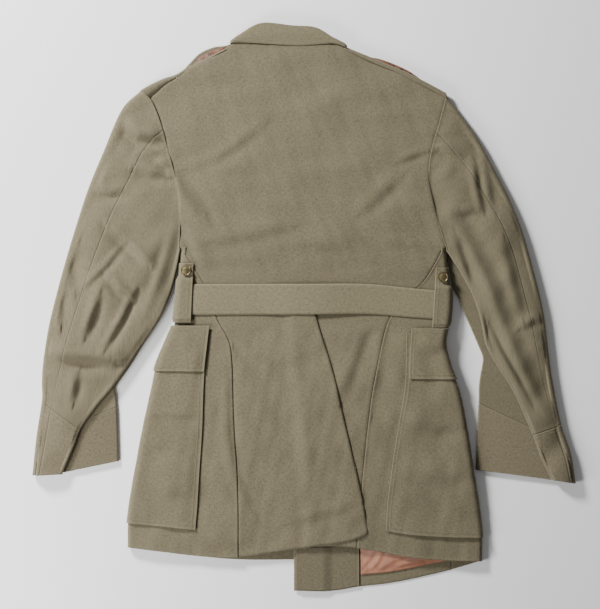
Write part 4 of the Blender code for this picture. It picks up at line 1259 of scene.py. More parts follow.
@dataclass
class SideWork:
    """Side panel, patch pocket, flap and belt carrier of one side."""

    side: Side
    pocket_bottom: float
    flap_span: tuple[float, float]
    carrier_rows: Table
    carrier_inner: tuple[float, float]
    step: float = 3.5

    def wrap(self, q: Array, start: Array, end: Array, count: int, proud: float) -> Array:
        """Grid from a place on top, round the side, to a place on the under side.

        Args:
            q: Places along the jacket.
            start: Length round the side where a row starts.
            end: Length round the side where it ends.
            count: About how long a row is.
            proud: Distance outside the side panel.

        Returns:
            Grid of points.
        """
        share = stops(count, self.step)[None, :]
        s = start + (end - start) * share
        return self.side.point(q, s, proud)

    def panel(self) -> None:
        """Make the side panel."""
        side = self.side
        top = Q_ARM + UNDERARM - 2
        q = Q_HEM + (top - Q_HEM) * stops(top - Q_HEM, self.step)[:, None]
        start = side.run_in(q, side.back_edge(q) + SEAM)
        end = (side.floor_seam(q) + SEAM / 2) * smooth(top + 2, Q_ARM, q)
        grid = self.wrap(q, start, end, 230, 0.0)
        rolls = {Edge.FIRST_COLUMN: (0.7, 3.0), Edge.FIRST_ROW: (0.8, 2.0), Edge.LAST_COLUMN: (0.3, 2.0)}
        name = f"side_{side.name}"
        Cloth(name, (name,), grid, CLOTH, DRAB, side.sign, rolls, (), (f"front_{side.name}",)).build()

    def patch(self, kind: str, low: float, high: float) -> None:
        """Make the pocket or its flap.

        Args:
            kind: pocket or flap.
            low: Lower end along the jacket.
            high: Upper end along the jacket.
        """
        side = self.side
        is_pocket = kind == "pocket"
        wall = POCKET_CLOTH if is_pocket else FLAP_CLOTH
        proud = CLOTH / 2 + LAID + wall / 2 + (0 if is_pocket else POCKET_CLOTH + LAID)
        line = side.pocket if is_pocket else side.flap
        q = low + (high - low) * stops(high - low, self.step)[:, None]
        start = side.run_in(q, line(q))
        end = -(side.quarter(q) + (96 if is_pocket else 99))
        grid = self.wrap(q, start, end, 220, proud)
        x, y = grid[..., 0], grid[..., 1]
        on_top = smooth(0.5, 0.9, (grid[..., 2] - 2) / (top_of(q) - 2))
        inside = smooth(0, 18, np.abs(x - side.sign * line(q)))
        grid[..., 2] += on_top * inside * (relief(Zone.POCKET, x, y) + pocket_swell.rise(x, y) + 0.9)
        edges = (Edge.FIRST_ROW, Edge.LAST_ROW, Edge.FIRST_COLUMN)
        rolls = {edge: (0.7, 1.6) for edge in edges}
        finish = DRAB if is_pocket else DRAB_EDGED
        name = f"{kind}_{side.name}"
        below = f"side_{side.name}" if is_pocket else f"pocket_{side.name}"
        Cloth(name, (name,), grid, wall, finish, side.sign, rolls, edges, (below,)).build()

    def carrier(self) -> None:
        """Make the upright tab that holds the belt."""
        side = self.side
        over_of = self.carrier_rows.run("q", "over", level=True)
        ends = self.carrier_rows.values["q"]
        high, low = ends.max(), ends.min()
        q = low + (high - low) * stops(high - low, 2.0)[:, None]
        inner_top, inner_low = self.carrier_inner
        inner = inner_top + (inner_low - inner_top) * (high - q) / (high - low)
        flat = CLOTH / 2 + LAID + CARRIER_CLOTH / 2
        proud = flat + (BELT_CLOTH + LAID + 0.7) * over_of(q)
        start = side.run_in(q, inner)
        share = np.linspace(0, 1, 26)[None, :]
        grid = side.point(q, start * (1 - share), proud)
        edges = (Edge.FIRST_COLUMN, Edge.LAST_ROW, Edge.FIRST_ROW)
        rolls = {edge: (0.5, 1.4) for edge in edges}
        name = f"carrier_{side.name}"
        Cloth(name, (name,), grid, CARRIER_CLOTH, DRAB_EDGED, side.sign, rolls, edges, ("belt",)).build()

    def build(self) -> None:
        """Make the side's pieces."""
        self.panel()
        self.patch("pocket", self.pocket_bottom, -38.0)
        self.patch("flap", *self.flap_span)
        self.carrier()


@dataclass
class Front:
    """One front, whose outer face lies on the floor."""

    side: Side
    edge: Table
    step: float = 6.0

    def point(self, u: Array, q: Array, proud: Array | float = 0.0) -> Array:
        """Points from the side seam at u = 0 to the front edge at u = 1.

        Args:
            u: Share of the way across.
            q: Places along the jacket.
            proud: Distance above the front's own middle.

        Returns:
            Grid of points.
        """
        side = self.side
        edge_of = self.edge.run("q", "out")
        seam = side.point(q, side.floor_seam(q) - SEAM / 2)
        start_y = np.where(q <= Q_ARM, q, side.armhole_stop(q))
        seam_out = side.edge(Q_ARM) - FLOOR_SEAM_IN
        hole = side.armhole(start_y) - ARMHOLE_SEAM / 2
        hole = hole + (seam_out - hole) * smooth(Q_ARM + 34, Q_ARM, start_y)
        out = np.where(q <= Q_ARM, side.sign * seam[..., 0], hole)
        x = side.sign * (out + (edge_of(q) - out) * u)
        neck_y = side.shoulder.line(1.0, 0.0)[1]
        y = np.where(q <= Q_ARM, 0.0, start_y + (np.minimum(q, neck_y) - start_y) * u)
        y = np.where(q <= Q_ARM, q + hem_share(q) * (side.hem_floor(x) - Q_HEM), y)
        inward = np.where(q <= Q_ARM, smooth(0.42, 0.58, u), smooth(0.2, 0.42, u))
        lift = side.lift(q) * (1 - inward) + inner_of(q) * inward
        lap = LAP_RISE * smooth(240, 200, q) * smooth(46, 28, x) if side is RIGHT else 0.0
        return np.stack([x, y, CLOTH / 2 + lift + lap + proud], -1)

    def build(self) -> None:
        """Make the front with its turn over the shoulder."""
        side = self.side
        u = stops(200, self.step)[None, :]
        length = Q_NECK - NECK_DROP - Q_HEM
        q = Q_HEM + length * stops(length, self.step)[:-FRONT_EDGE_STOPS][:, None]
        body = self.point(u, q)
        low = CLOTH / 2 + side.lift(Q_NECK)
        turn = (top_of(Q_NECK) - low) / 2
        rows = []
        for angle in np.linspace(0, math.pi, 9):
            x, y = side.shoulder.line(u, 0.0)
            seam_x, seam_y = side.shoulder.seam(u)
            gap = np.maximum(np.hypot(seam_x - x, seam_y - y), 0.1)
            pull = np.minimum(turn * (1 - math.sin(angle)) / gap, 1.0)
            z = np.full(u.shape, low + turn * (1 - math.cos(angle)))
            rows.append(np.stack([x + (seam_x - x) * pull, y + (seam_y - y) * pull, z], -1))
        seam_x, seam_y = side.shoulder.seam(u)
        rows.append(np.stack([seam_x, seam_y, np.full(u.shape, low + 2 * turn)], -1))
        grid = np.concatenate([body] + rows)
        rolls = {Edge.FIRST_ROW: (0.4, 2.0), Edge.LAST_COLUMN: (0.4, 2.0), Edge.LAST_ROW: (0.4, 2.0)}
        name = f"front_{side.name}"
        Cloth(name, (name,), grid, CLOTH, DRAB, side.sign, rolls, (Edge.LAST_COLUMN,), ()).build()


class Insides:
    """Facing, piping and lining on the right front's inner side, where they show."""

    def __init__(self, front: Front) -> None:
        """Keep the front that they lie on."""
        self.front = front

    def patch(
        self, name: str, wall: float, finish: Finish, low: float, span: tuple[float, float]
    ) -> None:
        """Make one piece on the front's inner side.

        Args:
            name: Name of the piece and its node.
            wall: Thickness.
            finish: What it is made of.
            low: Lower end along the jacket.
            span: Shares of the front where it starts and ends.
        """
        q = low + (-318.0 - low) * stops(-318.0 - low, 1.5)[:, None]
        u = span[0] + (span[1] - span[0]) * stops(120, 1.8)[None, :]
        grid = self.front.point(u, q, CLOTH / 2 + LAID + wall / 2)
        if finish is SALMON:
            x, y = grid[..., 0], grid[..., 1]
            inner = smooth(0, 8, y - y.min(axis=0, keepdims=True))
            grid[..., 2] += inner * np.maximum(relief(Zone.LINING, x, y), -0.3)
        edges = (Edge.FIRST_ROW, Edge.FIRST_COLUMN, Edge.LAST_COLUMN)
        rolls = {edge: (0.3, 1.5) for edge in edges}
        piped = (Edge.FIRST_COLUMN,) if finish is DRAB_PIPED else ()
        outward = -self.front.side.sign
        Cloth(name, (name,), grid, wall, finish, outward, rolls, piped, ("front_right",), 0.0).build()

    def build(self) -> None:
        """Make the facing and the lining."""
        self.patch("facing_right", FACING_CLOTH, DRAB_PIPED, -368.5, (0.585, 0.985))
        self.patch("lining_right", LINING_CLOTH, SALMON, -356.0, (0.02, 0.575))


@dataclass
class Belt:
    """Belt round the waist, closed by a plain buckle under the front."""

    buckle_x: float = 4.0
    buckle_wall: float = 2.2

    def build(self) -> None:
        """Make the belt as one long strip."""
        proud = CLOTH / 2 + LAID + 0.2 + BELT_CLOTH / 2
        share = stops(46, 3.0)[:, None]

        def level(x: Array) -> Array:
            """Places along the jacket, from the belt's top to its bottom."""
            return belt_top(x) + (belt_bottom(x) - belt_top(x)) * share

        def floor_run(start: float, end: float, count: int) -> Array:
            """Part of the belt that lies on the floor.

            Args:
                start: Where it starts across the jacket.
                end: Where it ends.
                count: Number of columns.

            Returns:
                Grid of points.
            """
            x = np.linspace(start, end, count + 1)[1:][None, :] + 0 * share
            rise = (self.buckle_wall + 0.4) * smooth(58, 34, np.abs(x - self.buckle_x))
            return np.stack([x, level(x), BELT_CLOTH / 2 + rise], -1)

        def round_side(side: Side, turn: Array) -> Array:
            """Part of the belt that runs round one side, over the given turns."""
            q = level(side.sign * side.edge(10.0)) + 0 * turn[None, :]
            return side.point(q, side.quarter(10.0) * turn[None, :], proud)

        left_x = -LEFT.edge(10.0) + LEFT.radius(10.0)
        right_x = RIGHT.edge(10.0) - RIGHT.radius(10.0)
        x = np.linspace(left_x, right_x, 132)[1:-1][None, :] + 0 * share
        over = LAP_RISE * smooth(-75, -12, x) * smooth(100, 24, x)
        swell = 0.25 * np.sin(x / 31) + 0.18 * np.sin(x / 13 + 1)
        back = np.stack([x, level(x), top_of(10.0) + 0.5 + proud + over + swell], -1)
        parts = [
            floor_run(self.buckle_x - 2, -LEFT.edge(10.0) + 30, 40),
            round_side(LEFT, np.linspace(-1, 1, 19)),
            back,
            round_side(RIGHT, np.linspace(1, -1, 19)),
            floor_run(RIGHT.edge(10.0) - 30 + 4, self.buckle_x + 2, 40),
        ]
        grid = np.concatenate(parts, axis=1)
        edges = (Edge.FIRST_ROW, Edge.LAST_ROW)
        rolls = {edge: (0.7, 1.5) for edge in edges}
        Cloth("belt", ("belt",), grid, BELT_CLOTH, DRAB_LIGHT, 1, rolls, edges, ("back",)).build()


@dataclass
class Sleeve:
    """One sleeve: upper and under pieces, and the cuff band below."""

    side: Side
    rows: Table
    hind: float
    fore: float = 0.76
    cuff_row: float = 10.0
    pleat_rise: float = 3.3
    pleat_depth: float = 15.0

    def sections(self, v: Array, floor: float) -> tuple[Array, dict[str, int]]:
        """Closed sections across the sleeve.

        Args:
            v: Places along the sleeve, counted in rows of its table.
            floor: Height of the lower layer's middle.

        Returns:
            Points of each section, and the number of the point at each seam.
        """
        side = self.side
        columns = self.rows.values
        count = np.arange(len(columns["outer_x"]), dtype=float)
        at = {key: Run(count, values)(v)[:, None] for key, values in columns.items()}
        first = {key: values[0] for key, values in columns.items()}

        def layer(t: Array, edge: str) -> tuple[Array, Array]:
            """Places on one layer of the sleeve.

            Args:
                t: Share of the way from the outer edge to the inner one.
                edge: Name of the inner edge, fold or under.

            Returns:
                Their x and y.
            """
            x = at["outer_x"] + (at[f"{edge}_x"] - at["outer_x"]) * t
            y = at["outer_y"] + (at[f"{edge}_y"] - at["outer_y"]) * t
            head_y = first["outer_y"] + (first["fold_y"] - first["outer_y"]) * t
            chord = np.abs(first["outer_x"] + (first["fold_x"] - first["outer_x"]) * t)
            out = side.armhole(head_y) + ARMHOLE_SEAM / 2
            return x + side.sign * (out - chord) * at["swing"], y

        upper = np.hypot(at["fold_x"] - at["outer_x"], at["fold_y"] - at["outer_y"])
        lower = np.hypot(at["under_x"] - at["outer_x"], at["under_y"] - at["outer_y"])
        levels = [floor + self.pleat_rise * i for i in range(3)]
        outer_turn = (at["top_outer"] - levels[0]) / 2
        fold_turn = (at["top_fold"] - levels[2]) / 2
        small = self.pleat_rise / 2
        t_outer = outer_turn / upper
        t_fold = 1 - fold_turn / upper
        t_deep = 1 - (np.minimum(self.pleat_depth, upper * 0.3) - small) / upper
        t_under = 1 - small / lower
        t_floor = outer_turn / lower
        parts: list[Array] = []

        def put(spot: tuple[Array, Array], z: Array) -> int:
            """Add points at a height, and tell how many there are by now."""
            x, y = spot
            parts.append(np.stack(np.broadcast_arrays(x, y, z + 0 * x), -1))
            return sum(part.shape[1] for part in parts)

        def over(t: Array) -> int:
            """Add points on the top layer, with its puff and creases.

            Args:
                t: Share of the way from the outer edge to the fold.

            Returns:
                Number of points by now.
            """
            share = (t - t_outer) / (t_fold - t_outer)
            x, y = layer(t, "fold")
            puff = np.sin(np.pi * np.clip(share, 0, 1)) ** 0.8
            near = smooth(0, 0.05, share) * smooth(1, 0.95, share)
            z = at["top_outer"] + (at["top_fold"] - at["top_outer"]) * share + at["puff"] * puff
            head = smooth(-0.2, 0.55, v)[:, None]
            bumps = relief(Zone.SLEEVE, x, y) + sleeve_swell.rise(x, y)
            return put((x, y), z + bumps * near * head)

        t_hind = self.hind + 0 * t_outer
        hind = over(t_outer + (t_hind - t_outer) * np.linspace(0, 1, 20)[None, :]) - 1
        over(t_hind + (t_fold - t_hind) * np.concatenate([[-0.002], np.linspace(0, 1, 46)[1:]])[None, :])
        angle = np.linspace(0, np.pi, 10)[None, 1:-1]
        z = levels[2] + fold_turn * (1 + np.cos(angle))
        put(layer(t_fold + fold_turn / upper * np.sin(angle), "fold"), z)
        put(layer(t_fold + (t_deep - t_fold) * np.linspace(0, 1, 5)[None, :], "fold"), levels[2])
        angle = np.linspace(0, np.pi, 7)[None, 1:]
        z = levels[1] + small * (1 + np.cos(angle))
        put(layer(t_deep - small / upper * np.sin(angle), "fold"), z)
        angle = np.linspace(0, np.pi, 7)[None, :]
        z = levels[0] + small * (1 + np.cos(angle))
        put(layer(t_under + small / lower * np.sin(angle), "under"), z)
        t = t_under + (self.fore - t_under) * np.linspace(0, 1, 8)[None, 1:]
        fore = put(layer(t, "under"), levels[0]) - 1
        share = np.concatenate([[0.006], np.linspace(0, 1, 20)[1:]])[None, :]
        put(layer(self.fore + (t_floor - self.fore) * share, "under"), levels[0])
        angle = np.linspace(0, np.pi, 10)[None, 1:-1]
        z = levels[0] + outer_turn * (1 - np.cos(angle))
        put(layer(t_floor - outer_turn / lower * np.sin(angle), "under"), z)
        return np.concatenate(parts, axis=1), {"hind": hind, "fore": fore}

    def round_piece(self, points: Array, start: int, end: int) -> Array:
        """Part of closed sections, from one point number round to another.

        Args:
            points: Points of the closed sections.
            start: Number of the first point.
            end: Number of the last one.

        Returns:
            Grid of points.
        """
        count = points.shape[1]
        numbers = np.arange(start, end + 1 if end > start else end + count + 1) % count
        return points[:, numbers]

    def build(self) -> None:
        """Make the sleeve's two pieces and the cuff."""
        name, sign = self.side.name, self.side.sign
        v = stops(480, 4.5) * self.cuff_row
        body, at = self.sections(v, 0.95)
        under = self.round_piece(body, at["hind"] + 1, at["fore"])
        top = self.round_piece(body, at["fore"] + 1, at["hind"])
        head = {Edge.FIRST_ROW: (0.9, 3.5), Edge.LAST_ROW: (0.5, 2.0)}
        seams = (Edge.FIRST_COLUMN, Edge.LAST_COLUMN)
        under_name, top_name, cuff_name = f"under_sleeve_{name}", f"top_sleeve_{name}", f"cuff_{name}"
        for own, other, part in ((under_name, top_name, under), (top_name, under_name, top)):
            wall = SLEEVE_CLOTH
            Cloth(own, (own,), part, wall, DRAB, sign, head, (), (other,), joined=seams).build()
        v = self.cuff_row + 0.014 + (2 - 0.014) * stops(95, 4.0)
        band, at = self.sections(v, 1.2)
        ring = self.round_piece(band, at["hind"] + 1, at["hind"])
        rolls = {Edge.FIRST_ROW: (0.5, 1.8), Edge.LAST_ROW: (0.6, 2.0)}
        nodes, below = (cuff_name,), (under_name,)
        sewn = (Edge.FIRST_ROW,)
        Cloth(cuff_name, nodes, ring, CUFF_CLOTH, DRAB_DARK, sign, rolls, sewn, below).build()


SLEEVE_COLUMNS = "outer_x outer_y fold_x fold_y under_x under_y top_outer top_fold puff swing"
LEFT_SLEEVE = Table(
    SLEEVE_COLUMNS,
    (-244, 326, -187, 86, -187, 86, 10.9, 15.0, 1.0, 1.0),
    (-273, 297, -191, 62, -191, 61, 11.5, 13.6, 3.5, 0.75),
    (-300, 234, -198, 32, -198, 30, 12.0, 12.6, 4.5, 0.45),
    (-322, 180, -205, 11, -205, 9, 12.0, 12.4, 5.0, 0.2),
    (-339, 128, -213, -9, -214, -11, 12.0, 12.2, 5.2, 0.05),
    (-355, 75, -227, -33, -228, -35, 12.0, 12.2, 5.2, 0.0),
    (-370, 20, -244, -57, -244, -59, 12.0, 12.2, 5.0, 0.0),
    (-382, -30, -264, -87, -263, -90, 12.0, 12.2, 4.6, 0.0),
    (-390, -82, -287, -119, -283, -119, 12.0, 12.2, 4.0, 0.0),
    (-392, -112, -311, -148, -282.5, -133, 12.0, 12.2, 3.2, 0.0),
    (-392, -141, -335, -182, -281.5, -150, 12.0, 12.2, 2.4, 0.0),
    (-400, -195, -345, -208, -280, -191, 12.4, 12.6, 2.0, 0.0),
    (-406, -252, -363, -250, -279, -231, 12.4, 12.6, 1.2, 0.0),
)
RIGHT_SLEEVE = Table(
    SLEEVE_COLUMNS,
    (218, 318, 221, 86, 221, 86, 10.9, 15.0, 1.0, 1.0),
    (261, 257, 237, 58, 229, 32, 11.5, 13.6, 3.5, 0.55),
    (289, 204, 247, 38, 236.5, 14, 12.0, 12.8, 4.5, 0.25),
    (311, 160, 256, 18, 243, -6, 12.0, 12.6, 5.0, 0.1),
    (328, 116, 264, -6, 252, -28, 12.0, 12.4, 5.2, 0.0),
    (342, 68, 270, -31, 264, -56, 12.0, 12.2, 5.2, 0.0),
    (353, 26, 274, -52, 271, -74, 12.0, 12.2, 5.0, 0.0),
    (361, -11, 282, -70, 270, -88, 12.0, 12.2, 4.6, 0.0),
    (366, -50, 294, -90, 267.5, -101, 12.0, 12.2, 4.0, 0.0),
    (373, -104, 318, -129, 265.5, -118, 12.0, 12.2, 3.4, 0.0),
    (387, -176, 345, -190, 265, -144, 12.0, 12.2, 2.6, 0.0),
    (401, -219, 358, -225, 263, -194, 12.4, 12.6, 2.0, 0.0),
    (408.5, -264, 374, -258, 261, -244, 12.4, 12.6, 1.2, 0.0),
)


@dataclass
class Collar:
    """Collar leaf folded over its stand, round the neck and under the fronts."""

    middle: float = 7.55
    out: float = 6.6
    inner: float = 3.5
    stops_of: Table = field(
        default_factory=lambda: Table(
            "turn x edge_y fold_y seam_y edge_x fold_x seam_x",
            (-90, 0, 316, 344, 342, -128, -86, -90),
            (-90, 0, 352, 374, 371, -121, -97, -101),
            (-60, -103, 381, 392, 386, 0, 0, 0),
            (-20, -103, 391, 397, 390, 0, 0, 0),
            (20, -103, 394.5, 399.5, 391, 0, 0, 0),
            (60, -103, 397, 402.5, 394, 0, 0, 0),
            (90, 0, 397.5, 411.5, 399, -91, -92, -92),
            (90, 0, 396.5, 424, 404, -70, -71, -71),
            (90, 0, 395, 427, 405.5, -45, -52, -50),
            (90, 0, 393, 423, 405.5, -8, -18, -12),
            (90, 0, 395, 420, 402, 26, 18, 20),
            (90, 0, 396, 406, 394, 46, 43, 45),
            (120, 59, 391, 396.5, 390, 0, 0, 0),
            (160, 59, 388, 393, 387, 0, 0, 0),
            (200, 59, 384, 391, 386, 0, 0, 0),
            (240, 59, 379, 390, 384, 0, 0, 0),
            (270, 0, 350, 371, 368, 78, 54, 58),
            (270, 0, 314, 341, 339, 85, 43, 47),
        )
    )

    def frames(self) -> dict[str, Array]:
        """Places of the leaf's edge, fold and seam at each stop.

        Returns:
            Sizes by name.
        """
        at = self.stops_of.values
        angle = np.radians(at["turn"])
        flat = np.isin(at["turn"], (-90, 90, 270))
        out_x = np.where(flat, at["fold_x"], at["x"] - self.out * np.cos(angle))
        in_x = np.where(flat, at["fold_x"], at["x"] - self.inner * np.cos(angle))
        return {
            "edge_x": np.where(flat, at["edge_x"], out_x),
            "edge_y": at["edge_y"],
            "out_x": out_x,
            "in_x": in_x,
            "fold_y": at["fold_y"],
            "out_z": self.middle + self.out * np.sin(angle),
            "in_z": self.middle + self.inner * np.sin(angle),
            "seam_x": np.where(flat, at["seam_x"], in_x),
            "seam_y": at["seam_y"],
        }

    def build(self) -> None:
        """Make the collar."""
        frames = self.frames()
        count = np.arange(len(frames["out_x"]), dtype=float)
        spots = np.linspace(0, count[-1], 200)
        at = {key: Run(count, values)(spots)[:, None] for key, values in frames.items()}
        fold = (self.out - self.inner) / 2
        share = stops(44.1, 2.5)[None, :]
        x = at["edge_x"] + (at["out_x"] - at["edge_x"]) * share
        y = at["edge_y"] + (at["fold_y"] - fold - at["edge_y"]) * share
        upward = smooth(0.5, 0.95, (at["out_z"] - self.middle) / self.out)
        z = at["out_z"] + upward * (relief(Zone.COLLAR, x, y) + 0.8 * np.sin(np.pi * share))
        parts = [np.stack([x, y, z], -1)]
        angle = np.linspace(0, np.pi, 9)[None, 1:-1]
        x = (at["out_x"] + at["in_x"]) / 2 + (at["out_x"] - at["in_x"]) / 2 * np.cos(angle)
        z = (at["out_z"] + at["in_z"]) / 2 + (at["out_z"] - at["in_z"]) / 2 * np.cos(angle)
        y = at["fold_y"] - fold + fold * np.sin(angle)
        parts.append(np.stack([x, y, z], -1))
        share = np.linspace(0, 1, 8)[None, :]
        x = at["in_x"] + (at["seam_x"] - at["in_x"]) * share
        low = np.minimum(at["seam_y"], at["fold_y"] - fold - 1.5)
        y = at["fold_y"] - fold + (low - at["fold_y"] + fold) * share
        parts.append(np.stack([x, y, at["in_z"] + 0 * x], -1))
        grid = np.concatenate(parts, axis=1)
        edges = (Edge.FIRST_COLUMN, Edge.FIRST_ROW, Edge.LAST_ROW)
        rolls = {Edge.FIRST_COLUMN: (0.3, 1.6)}
        Cloth("collar", ("collar",), grid, COLLAR_CLOTH, DRAB_COLLAR, 1, rolls, edges, ("back",)).build()


@dataclass
class FlatPiece:
    """Cloth that lies flat between two edges: a strap, its lining or a lapel."""

    name: str
    rungs: Table
    wall: float
    finish: Finish
    low: float = 0.0
    outward: int = 1
    rests_on: tuple[str, ...] = ()
    waves: float = 0.0

    def build(self) -> None:
        """Make the piece."""
        columns = self.rungs.values
        count = np.arange(len(columns["outer_x"]), dtype=float)
        spots = np.linspace(0, count[-1], 60)
        at = {key: Run(count, values)(spots)[:, None] for key, values in columns.items()}
        share = stops(44.1, 2.0)[None, :]
        x = at["outer_x"] + (at["inner_x"] - at["outer_x"]) * share
        y = at["outer_y"] + (at["inner_y"] - at["outer_y"]) * share
        inside = smooth(0, 0.15, share) * smooth(1, 0.85, share)
        bump = self.waves * (1 + np.sin(x / 3.1 + y / 5.3)) * inside
        grid = np.stack([x, y, self.low + self.wall / 2 + bump + 0 * x], -1)
        edges = tuple(Edge)
        stitched = () if isinstance(self.finish, Satin) else (Edge.FIRST_COLUMN, Edge.LAST_COLUMN)
        rolls = {edge: (0.15, 1.2) for edge in edges}
        Cloth(
            self.name,
            (self.name,),
            grid,
            self.wall,
            self.finish,
            self.outward,
            rolls,
            stitched,
            self.rests_on,
            FLAT_GROOVE,
        ).build()


def dress(piece: bpy.types.Object, node: str, finish: Finish) -> None:
    """Give a hard piece its finish and its place in the jacket.

    Args:
        piece: The piece.
        node: Node that it stands for.
        finish: What it is made of.
    """
    piece.name = f"{node}_brass"
    piece.data.name = piece.name
    piece.data.materials.clear()
    piece.data.materials.append(material_of(finish))
    # The primitive's own map is unused, and bevels fill it differently on each run.
    while piece.data.uv_layers:
        piece.data.uv_layers.remove(piece.data.uv_layers[0])
    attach(piece, "root")
    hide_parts(node)
    LOG.info("%s: %d faces", node, len(piece.data.polygons))


def settle(piece: bpy.types.Object) -> None:
    """Put a finished piece's place into its mesh.

    Args:
        piece: The piece.
    """
    bpy.ops.object.select_all(action="DESELECT")
    piece.select_set(True)
    bpy.context.view_layer.objects.active = piece
    bpy.ops.object.transform_apply(location=True, rotation=True, scale=True)
    bpy.ops.object.shade_smooth_by_angle(angle=math.radians(40))


@dataclass
class Button:
    """Plain domed brass button with a rolled rim."""

    node: str
    x: float
    y: float
    low: float
    radius: float
    height: float
    face_up: bool = True

    def build(self) -> None:
        """Turn the button from a cylinder by insets and a raised dome."""
        bpy.ops.object.select_all(action="DESELECT")
        place = ((self.x - MIDDLE_X) * MM, (self.y - MIDDLE_Y) * MM, (self.low + self.height / 2) * MM)
        size = {"radius": self.radius * MM, "depth": self.height * MM}
        bpy.ops.mesh.primitive_cylinder_add(vertices=48, location=place, **size)
        piece = bpy.context.object
        bpy.ops.object.mode_set(mode="EDIT")
        bpy.ops.mesh.select_mode(type="FACE")
        bpy.ops.mesh.select_all(action="DESELECT")
        bpy.ops.object.mode_set(mode="OBJECT")
        face = max(piece.data.polygons, key=lambda f: f.normal.z if self.face_up else -f.normal.z)
        face.select = True
        bpy.ops.object.mode_set(mode="EDIT")
        sign = 1 if self.face_up else -1
        for inset, rise in DOME_STEPS:
            bpy.ops.mesh.inset(thickness=inset * self.radius * MM, depth=0)
            move = sign * rise * self.height * MM
            bpy.ops.transform.translate(value=(0, 0, move))
        bpy.ops.object.mode_set(mode="OBJECT")
        bevel = piece.modifiers.new("rim", "BEVEL")
        bevel.width = 0.25 * MM
        bevel.segments = 2
        bevel.limit_method = "ANGLE"
        bevel.angle_limit = math.radians(50)
        bpy.ops.object.modifier_apply(modifier="rim")
        settle(piece)
        dress(piece, self.node, BRASS)


@dataclass
class Buckle:
    """Plain brass frame with a bar, under the belt's front."""

    x: float = 4.0
    width: float = 46.0
    depth: float = 54.0
    bar: float = 5.5
    wall: float = 2.2

    def build(self) -> None:
        """Cut the frame from a plate by insets and round its edges."""
        bpy.ops.object.select_all(action="DESELECT")
        y = float(belt_top(0.0) + belt_bottom(0.0)) / 2
        place = ((self.x - MIDDLE_X) * MM, (y - MIDDLE_Y) * MM, self.wall / 2 * MM)
        bpy.ops.mesh.primitive_cube_add(size=1, location=place)
        piece = bpy.context.object
        piece.scale = (self.width * MM, self.depth * MM, self.wall * MM)
        bpy.ops.object.transform_apply(location=False, rotation=False, scale=True)
        bpy.ops.object.mode_set(mode="EDIT")
        bpy.ops.mesh.select_mode(type="FACE")
        bpy.ops.mesh.select_all(action="DESELECT")
        bpy.ops.object.mode_set(mode="OBJECT")
        for face in piece.data.polygons:
            face.select = abs(face.normal.z) > 0.9
        bpy.ops.object.mode_set(mode="EDIT")
        bpy.ops.mesh.inset(thickness=self.bar * MM, depth=0, use_individual=True)
        bpy.ops.mesh.bridge_edge_loops()
        bpy.ops.mesh.select_all(action="SELECT")
        bpy.ops.mesh.normals_make_consistent(inside=False)
        bpy.ops.object.mode_set(mode="OBJECT")
        bevel = piece.modifiers.new("edges", "BEVEL")
        bevel.width = 0.7 * MM
        bevel.segments = 3
        bpy.ops.object.modifier_apply(modifier="edges")
        settle(piece)
        dress(piece, "buckle", BRASS)


LEFT_CARRIER = Table(
    "q over",
    (67, 0),
    (50, 0),
    (40, 1),
    (26, 1),
    (12, 1),
    (-5, 1),
    (-15, 1),
    (-22, 0.3),
)
RIGHT_CARRIER = Table("q over", (60, 0), (38, 0), (28, 1), (12, 1), (-5, 1), (-22, 1), (-30, 0.3))
RUNGS = "outer_x outer_y inner_x inner_y"
LEFT_STRAP = Table(
    RUNGS,
    (-222, 318, -202, 282),
    (-205, 334, -188, 298),
    (-188, 350, -171, 313),
    (-172, 367, -155, 330),
    (-156, 383, -140, 345),
    (-136, 392, -133, 358),
    (-121, 394, -124, 374),
    (-110, 396.5, -116, 378),
)
RIGHT_STRAP = Table(
    RUNGS,
    (210, 312, 196, 276),
    (183, 339, 168, 298),
    (162, 355, 148, 316),
    (142, 365, 128, 328),
    (118, 374, 106, 340),
    (100, 378, 94, 352),
    (84, 383, 88, 366),
)
LEFT_LAPEL = Table(
    RUNGS,
    (11, 118, 19, 115),
    (-38, 168, -8, 174),
    (-88, 228, -38, 240),
    (-132, 276, -66, 300),
    (-143, 300, -80, 332),
)
RIGHT_LAPEL = Table(
    RUNGS,
    (24, 158, 9, 168),
    (40, 176, 12, 186),
    (76, 228, 24, 240),
    (104, 276, 38, 300),
    (106, 298, 46, 330),
)


def lining_of(strap: Table, margin: float) -> Table:
    """Rungs of the lining strip that lies on a strap.

    Args:
        strap: Rungs of the strap.
        margin: Share of the strap that stays bare at its outer edge.

    Returns:
        Rungs of the lining.
    """
    rows = []
    columns = [strap.values[name] for name in RUNGS.split()]
    for outer_x, outer_y, inner_x, inner_y in list(zip(*columns))[1:]:
        near = (outer_x + (inner_x - outer_x) * margin, outer_y + (inner_y - outer_y) * margin)
        far = (outer_x + (inner_x - outer_x) * 0.5, outer_y + (inner_y - outer_y) * 0.5)
        rows.append((*near, *far))
    return Table(RUNGS, *rows)


